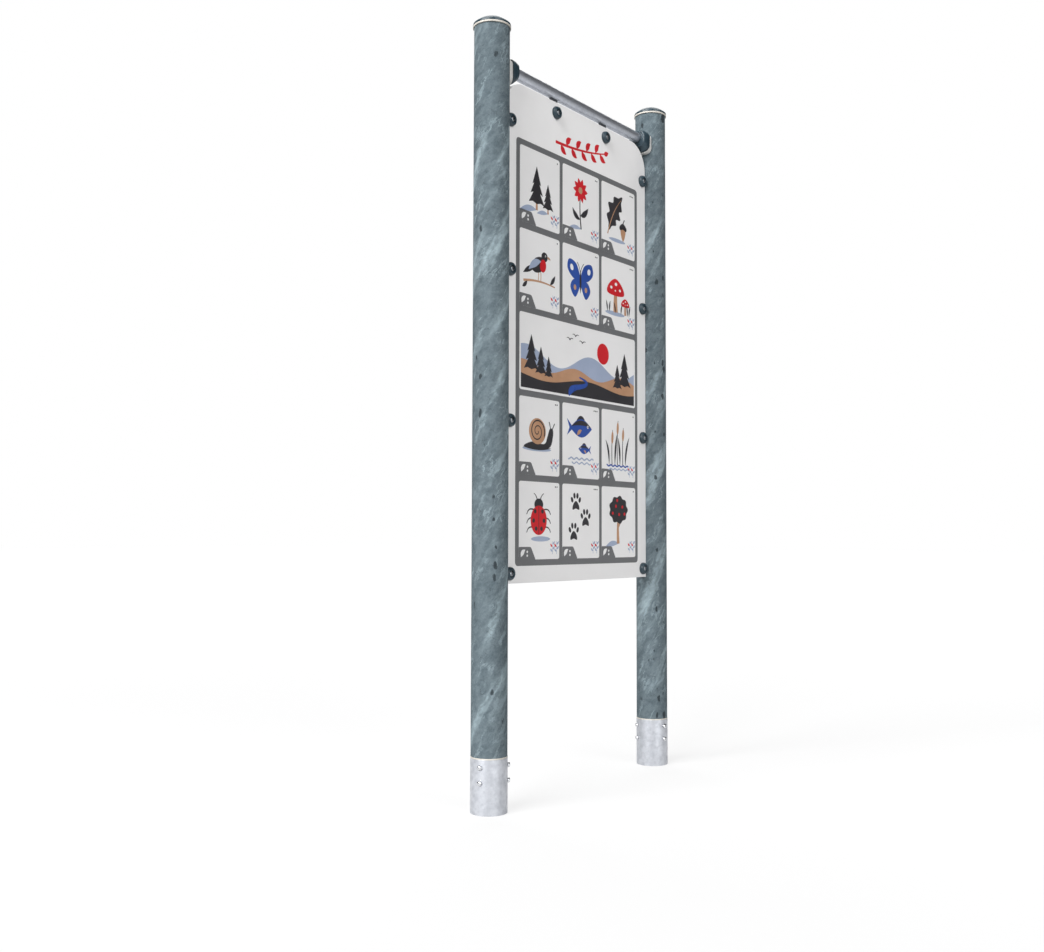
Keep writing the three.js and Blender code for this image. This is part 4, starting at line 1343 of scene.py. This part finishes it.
def snail():
    """A shell with its spiral, whose radius falls evenly with the angle, on a creeping foot."""
    spiral = ellipse(np.linspace(-0.4, 4.1 * np.pi, 90), np.linspace(39, 4, 90)) + (-8, 8)
    foot = blob((-78, -42), (-34, -26), (28, -30), (46, -4), (58, 20), (74, 18), (74, -6), (56, -40),
                (-10, -46))
    return inked(("shadow", oval(-10, -48, 150, 14)), ("charcoal", foot), ("tan", oval(-8, 8, 88, 82)),
                 ("charcoal", line(spiral, 5, 3), line([(62, 16), (60, 30), (54, 42)], 3, 4),
                  line([(70, 16), (76, 28), (84, 38)], 3, 4), leaf((-84, -44), (0, -50), (66, -42), 9)))


def paws():
    """Three prints of a paw, each a pad and four toes, walking up to the right."""
    toes = [oval(side * x, z, 13, 20, -side * lean)
            for side, x, z, lean in ((-1, 23, 10, 24), (-1, 9, 24, 8), (1, 9, 24, 8), (1, 23, 10, 24))]
    pad = blob((0, 6), (17, -8), (19, -24), (0, -20), (-19, -24), (-17, -8))
    one = inked(("charcoal", pad, *toes))
    return [*moved(one, -38, -46, 0.95), *moved(one, 30, 0, 0.95), *moved(one, -26, 52, 0.95)]


# %% Landscape
def hills(half, foot, level, rise, length, start):
    """Land under the line z = level + h sin(2 pi x / l + s), down to the foot of the picture."""
    x = np.linspace(-half, half, 61)
    top = np.stack([x, level + rise * np.sin(2 * np.pi * x / length + start)], axis=-1)
    return np.concatenate([top, [[half, foot], [-half, foot]]])


def landscape(half, foot):
    """Hills one behind the other, a stream between them, trees on the near ground, a sun and birds."""
    land = inked(("red", oval(120, 42, 66, 66)), ("shadow", hills(half, foot, -4, 26, 330, 0.6)),
                 ("tan", hills(half, foot, -36, 13, 260, 2.4)),
                 ("charcoal", hills(half, foot, -66, 11, 420, 1.1)),
                 ("blue", line([(-10, -46), (78, -62), (-26, -78)], 5, 16),
                  line([(-26, -78), (-60, -86), (-50, foot + 5)], 16, 34)))
    for x, z, height in ((-252, -66, 118), (-206, -70, 92), (-168, -72, 70), (202, -70, 88), (244, -66, 124)):
        land += moved(fir(height, False), x, z)
    wings = [line([(x, z), (x + side * 6, z + 9), (x + side * 16, z + 5)], 3, 1.5)
             for x, z in ((-60, 62), (-30, 76), (6, 60)) for side in (-1, 1)]
    return land + inked(("charcoal", *wings))


# %% [markdown]
# Round its picture each tile has a grey tab at one corner with a light leaf and two dots, a pair of small
# sprigs at the other, and one to three pips at the top.

# %% Tab, sprigs and pips
TAB_WIDTH = 78
TAB_HEIGHT = 36
TAB_SLANT = 22


def sprig(x, z):
    """A stem with pale leaves and one red one."""
    layers = [("shadow", line([(0, 0), (1, 18), (-1, 38)], 1.6, 1.2))]
    for number, height in enumerate((8, 15, 22, 29)):
        out = 1 if number % 2 else -1
        layers.append(("red" if number == 2 else "shadow",
                       leaf((0, height), (out * 6, height + 2), (out * 11, height + 9), 6)))
    return moved(layers, x, z)


def trimmings(half_width, half_height, pips):
    """What every tile carries beside its picture."""
    left, foot = -half_width, -half_height
    right, head, start = left + TAB_WIDTH, foot + TAB_HEIGHT, (left, foot + 20)
    corners = [start, (left, foot), (right, foot), (right - TAB_SLANT, head), (left, head), start]
    tab = inked(("grey", rounded(corners, [1, 3, 6, 3], 4)[:-1]),
                ("white", leaf((left + 10, foot + 7), (left + 14, foot + 22), (left + 30, foot + 28), 14),
                 oval(left + 39, foot + 22, 7, 7), oval(left + 39, foot + 11, 7, 7)))
    dots = [oval(half_width - 12 - 8 * number, half_height - 12, 4.5, 4.5) for number in range(pips)]
    return [*tab, *sprig(half_width - 34, foot + 14), *sprig(half_width - 14, foot + 14),
            *inked(("charcoal", *dots))]


# %% [markdown]
# All outlines of one ink become one piece, because that is how the print is made: one screen, one coat. The
# red twig over the field stands in the board's own white.

# %% Print the pictures
PICTURE_SIZE = 0.92
PICTURE_PLACE = (-4, 8)
LAND_MARGIN = 7

firs = moved(fir(140), -14, -78) + moved(fir(96), 46, -78)
pictures = [firs, flower(), oak(), bird(), butterfly(), mushrooms(), None, snail(), fish(), reeds(),
            ladybird(), paws(), fruit_tree()]
coats = {ink: [] for ink in inks}


def lay(shapes, x, z, ground):
    """Gives each outline its thickness: from the ground it lies on to a coat plus n hairs in front of it."""
    for number, (ink, shape) in enumerate(shapes):
        coats[ink].append(slab(shape + (x, z), ground, ground - INK - number * HAIR))


for number, ((left, right, low, high), picture) in enumerate(zip(places, pictures)):
    half_width, half_height = (right - left) / 2, (high - low) / 2
    if picture is None:
        layers = [landscape(half_width - LAND_MARGIN, LAND_MARGIN - half_height)]
    else:
        layers = [trimmings(half_width, half_height, 1 + number % 3),
                  moved(picture, *PICTURE_PLACE, PICTURE_SIZE)]
    for shapes in layers:
        lay(shapes, (left + right) / 2, (low + high) / 2, tile_face)

# %% Red twig over the field
twig_path = bow((-134, 1920), (10, 1922), (128, 1952), 60)
twig = [line(twig_path, 9, 4)]
for number, step in enumerate(range(6, 58, 6)):
    root, ahead = twig_path[step], twig_path[step + 1] - twig_path[step - 1]
    ahead /= np.linalg.norm(ahead)
    side = np.array([-ahead[1], ahead[0]]) * (1 if number % 2 else -1)
    twig.append(leaf(root, root + 4 * ahead + 20 * side, root + 26 * ahead + 27 * side, 19))
twig.append(leaf(twig_path[-1] - (2, 1), twig_path[-1] + (10, 2), twig_path[-1] + (24, 10), 16))
lay(inked(("red", *twig)), 0, 0, face_y)
for ink, sheets in coats.items():
    make_piece(f"print_{ink}", sheets, inks[ink])
print("outlines", {ink: len(sheets) for ink, sheets in coats.items()})

# %% [markdown]
# ## Stage, light and camera
#
# The sign stands on a plain pale floor in front of white. The main light is broad and soft and comes from the
# sign's left end, and a weaker one from the front, so the board is a little less bright than the posts'
# lit sides.

# %% Floor
FLOOR_REACH = 60.0
FLOOR_LEVEL = 0.765
FAR_LEVEL = 0.22
WHITE = (1, 1, 1, 1)


def bare_tree(owner):
    """The emptied node tree of a material or a world, with what camera rays and mirror rays read as 1."""
    owner.use_nodes = True
    tree = owner.node_tree
    tree.nodes.clear()
    rays = place(tree, "ShaderNodeLightPath")
    mirrored = maths(tree, "MAXIMUM", rays["Is Glossy Ray"], rays["Is Transmission Ray"])
    return tree, rays["Is Camera Ray"], mirrored


floor_material = bpy.data.materials.new("pale_floor")
tree, by_camera, by_mirror = bare_tree(floor_material)
floor_skin = place(tree, "ShaderNodeBsdfDiffuse", {"Color": (0.3, 0.3, 0.3, 1)})[0]
where = place(tree, "ShaderNodeTexCoord")["Object"]
away = place(tree, "ShaderNodeVectorMath", {0: where}, operation="LENGTH")["Value"]
mirror_level = ramp(tree, away, 0.5, 7.0, FLOOR_LEVEL, FAR_LEVEL)
level = maths(tree, "MAXIMUM", mirror_level, maths(tree, "MULTIPLY", by_camera, FLOOR_LEVEL))
floor_white = place(tree, "ShaderNodeEmission", {"Color": WHITE, "Strength": level})[0]
faint_skin = place(tree, "ShaderNodeBsdfDiffuse", {"Color": (0.2, 0.2, 0.2, 1)})[0]
faint = place(tree, "ShaderNodeAddShader", {0: floor_white, 1: faint_skin})[0]
seen = maths(tree, "MAXIMUM", by_camera, by_mirror)
shown = place(tree, "ShaderNodeMixShader", {0: seen, 1: floor_skin, 2: faint})[0]
place(tree, "ShaderNodeOutputMaterial", {"Surface": shown})

corners = np.array([[-1, -1, 0], [1, -1, 0], [1, 1, 0], [-1, 1, 0]]) * FLOOR_REACH
floor_mesh = bpy.data.meshes.new("floor")
floor_mesh.from_pydata(corners.tolist(), [], [[0, 1, 2, 3]])
floor_mesh.materials.append(floor_material)
add_object("floor", floor_mesh)

# %% World
AMBIENT = 0.12
SKY_TINT = (0.97, 0.985, 1, 1)

scene.world = bpy.data.worlds.new("studio")
tree, by_camera, by_mirror = bare_tree(scene.world)
generated = place(tree, "ShaderNodeTexCoord")["Generated"]
up = place(tree, "ShaderNodeSeparateXYZ", {0: generated})["Z"]
overhead = ramp(tree, up, -0.1, 0.2, 0.25, 0.03)
white, shine, ambient = (
    place(tree, "ShaderNodeBackground", {"Color": colour, "Strength": strength})[0]
    for colour, strength in ((WHITE, 1.0), (WHITE, overhead), (SKY_TINT, AMBIENT)))
reflected = place(tree, "ShaderNodeMixShader", {0: by_mirror, 1: ambient, 2: shine})[0]
seen_world = place(tree, "ShaderNodeMixShader", {0: by_camera, 1: reflected, 2: white})[0]
place(tree, "ShaderNodeOutputWorld", {"Surface": seen_world})


# %% Lamps
def lamp(name, heading, height, level, spread):
    """A sun lamp. Heading is where it stands, in degrees round from +X, and height its angle above the
    floor. A white face square to it renders at the given level, because a sun's strength is pi times that."""
    data = bpy.data.lights.new(name, "SUN")
    data.energy = level * math.pi
    data.angle = math.radians(spread)
    turned_to, lifted_to = math.radians(heading), math.radians(height)
    towards = Vector((math.cos(turned_to) * math.cos(lifted_to), math.sin(turned_to) * math.cos(lifted_to),
                      math.sin(lifted_to)))
    add_object(name, data).rotation_euler = towards.to_track_quat("Z", "Y").to_euler()


lamp("key", 178, 30, 1.4, 44)
lamp("front", 257, 18, 0.51, 40)
lamp("back", 45, 30, 0.5, 60)

# %% Camera
CAMERA_PLACE = Vector((-2.84959, -1.97102, 0.74347))
CAMERA_HEADING = math.radians(52.49)
CAMERA_PITCH = math.radians(3.0215)
CAMERA_ROLL = math.radians(0.16265)
CAMERA_LENS = 39.37
CAMERA_SENSOR = 36

view = Vector((math.sin(CAMERA_HEADING) * math.cos(CAMERA_PITCH),
               math.cos(CAMERA_HEADING) * math.cos(CAMERA_PITCH), math.sin(CAMERA_PITCH)))
level_right = Vector((math.cos(CAMERA_HEADING), -math.sin(CAMERA_HEADING), 0))
level_up = level_right.cross(view)
right = level_right * math.cos(CAMERA_ROLL) + level_up * math.sin(CAMERA_ROLL)
upward = level_up * math.cos(CAMERA_ROLL) - level_right * math.sin(CAMERA_ROLL)
camera_data = bpy.data.cameras.new("camera")
camera_data.sensor_fit = "HORIZONTAL"
camera_data.sensor_width = CAMERA_SENSOR
camera_data.lens = CAMERA_LENS
camera = add_object("camera", camera_data)
axes = Matrix((right, upward, -view)).transposed().to_4x4()
camera.matrix_world = Matrix.Translation(CAMERA_PLACE) @ axes
scene.camera = camera
scene.view_settings.view_transform = "Standard"

# %% [markdown]
# ## Boxes
#
# A box can be given as plain lists of numbers.

# %% Sizes and finish
def plain(box):
    """A box as plain lists of numbers."""
    return [[float(value) for value in corner] for corner in box]
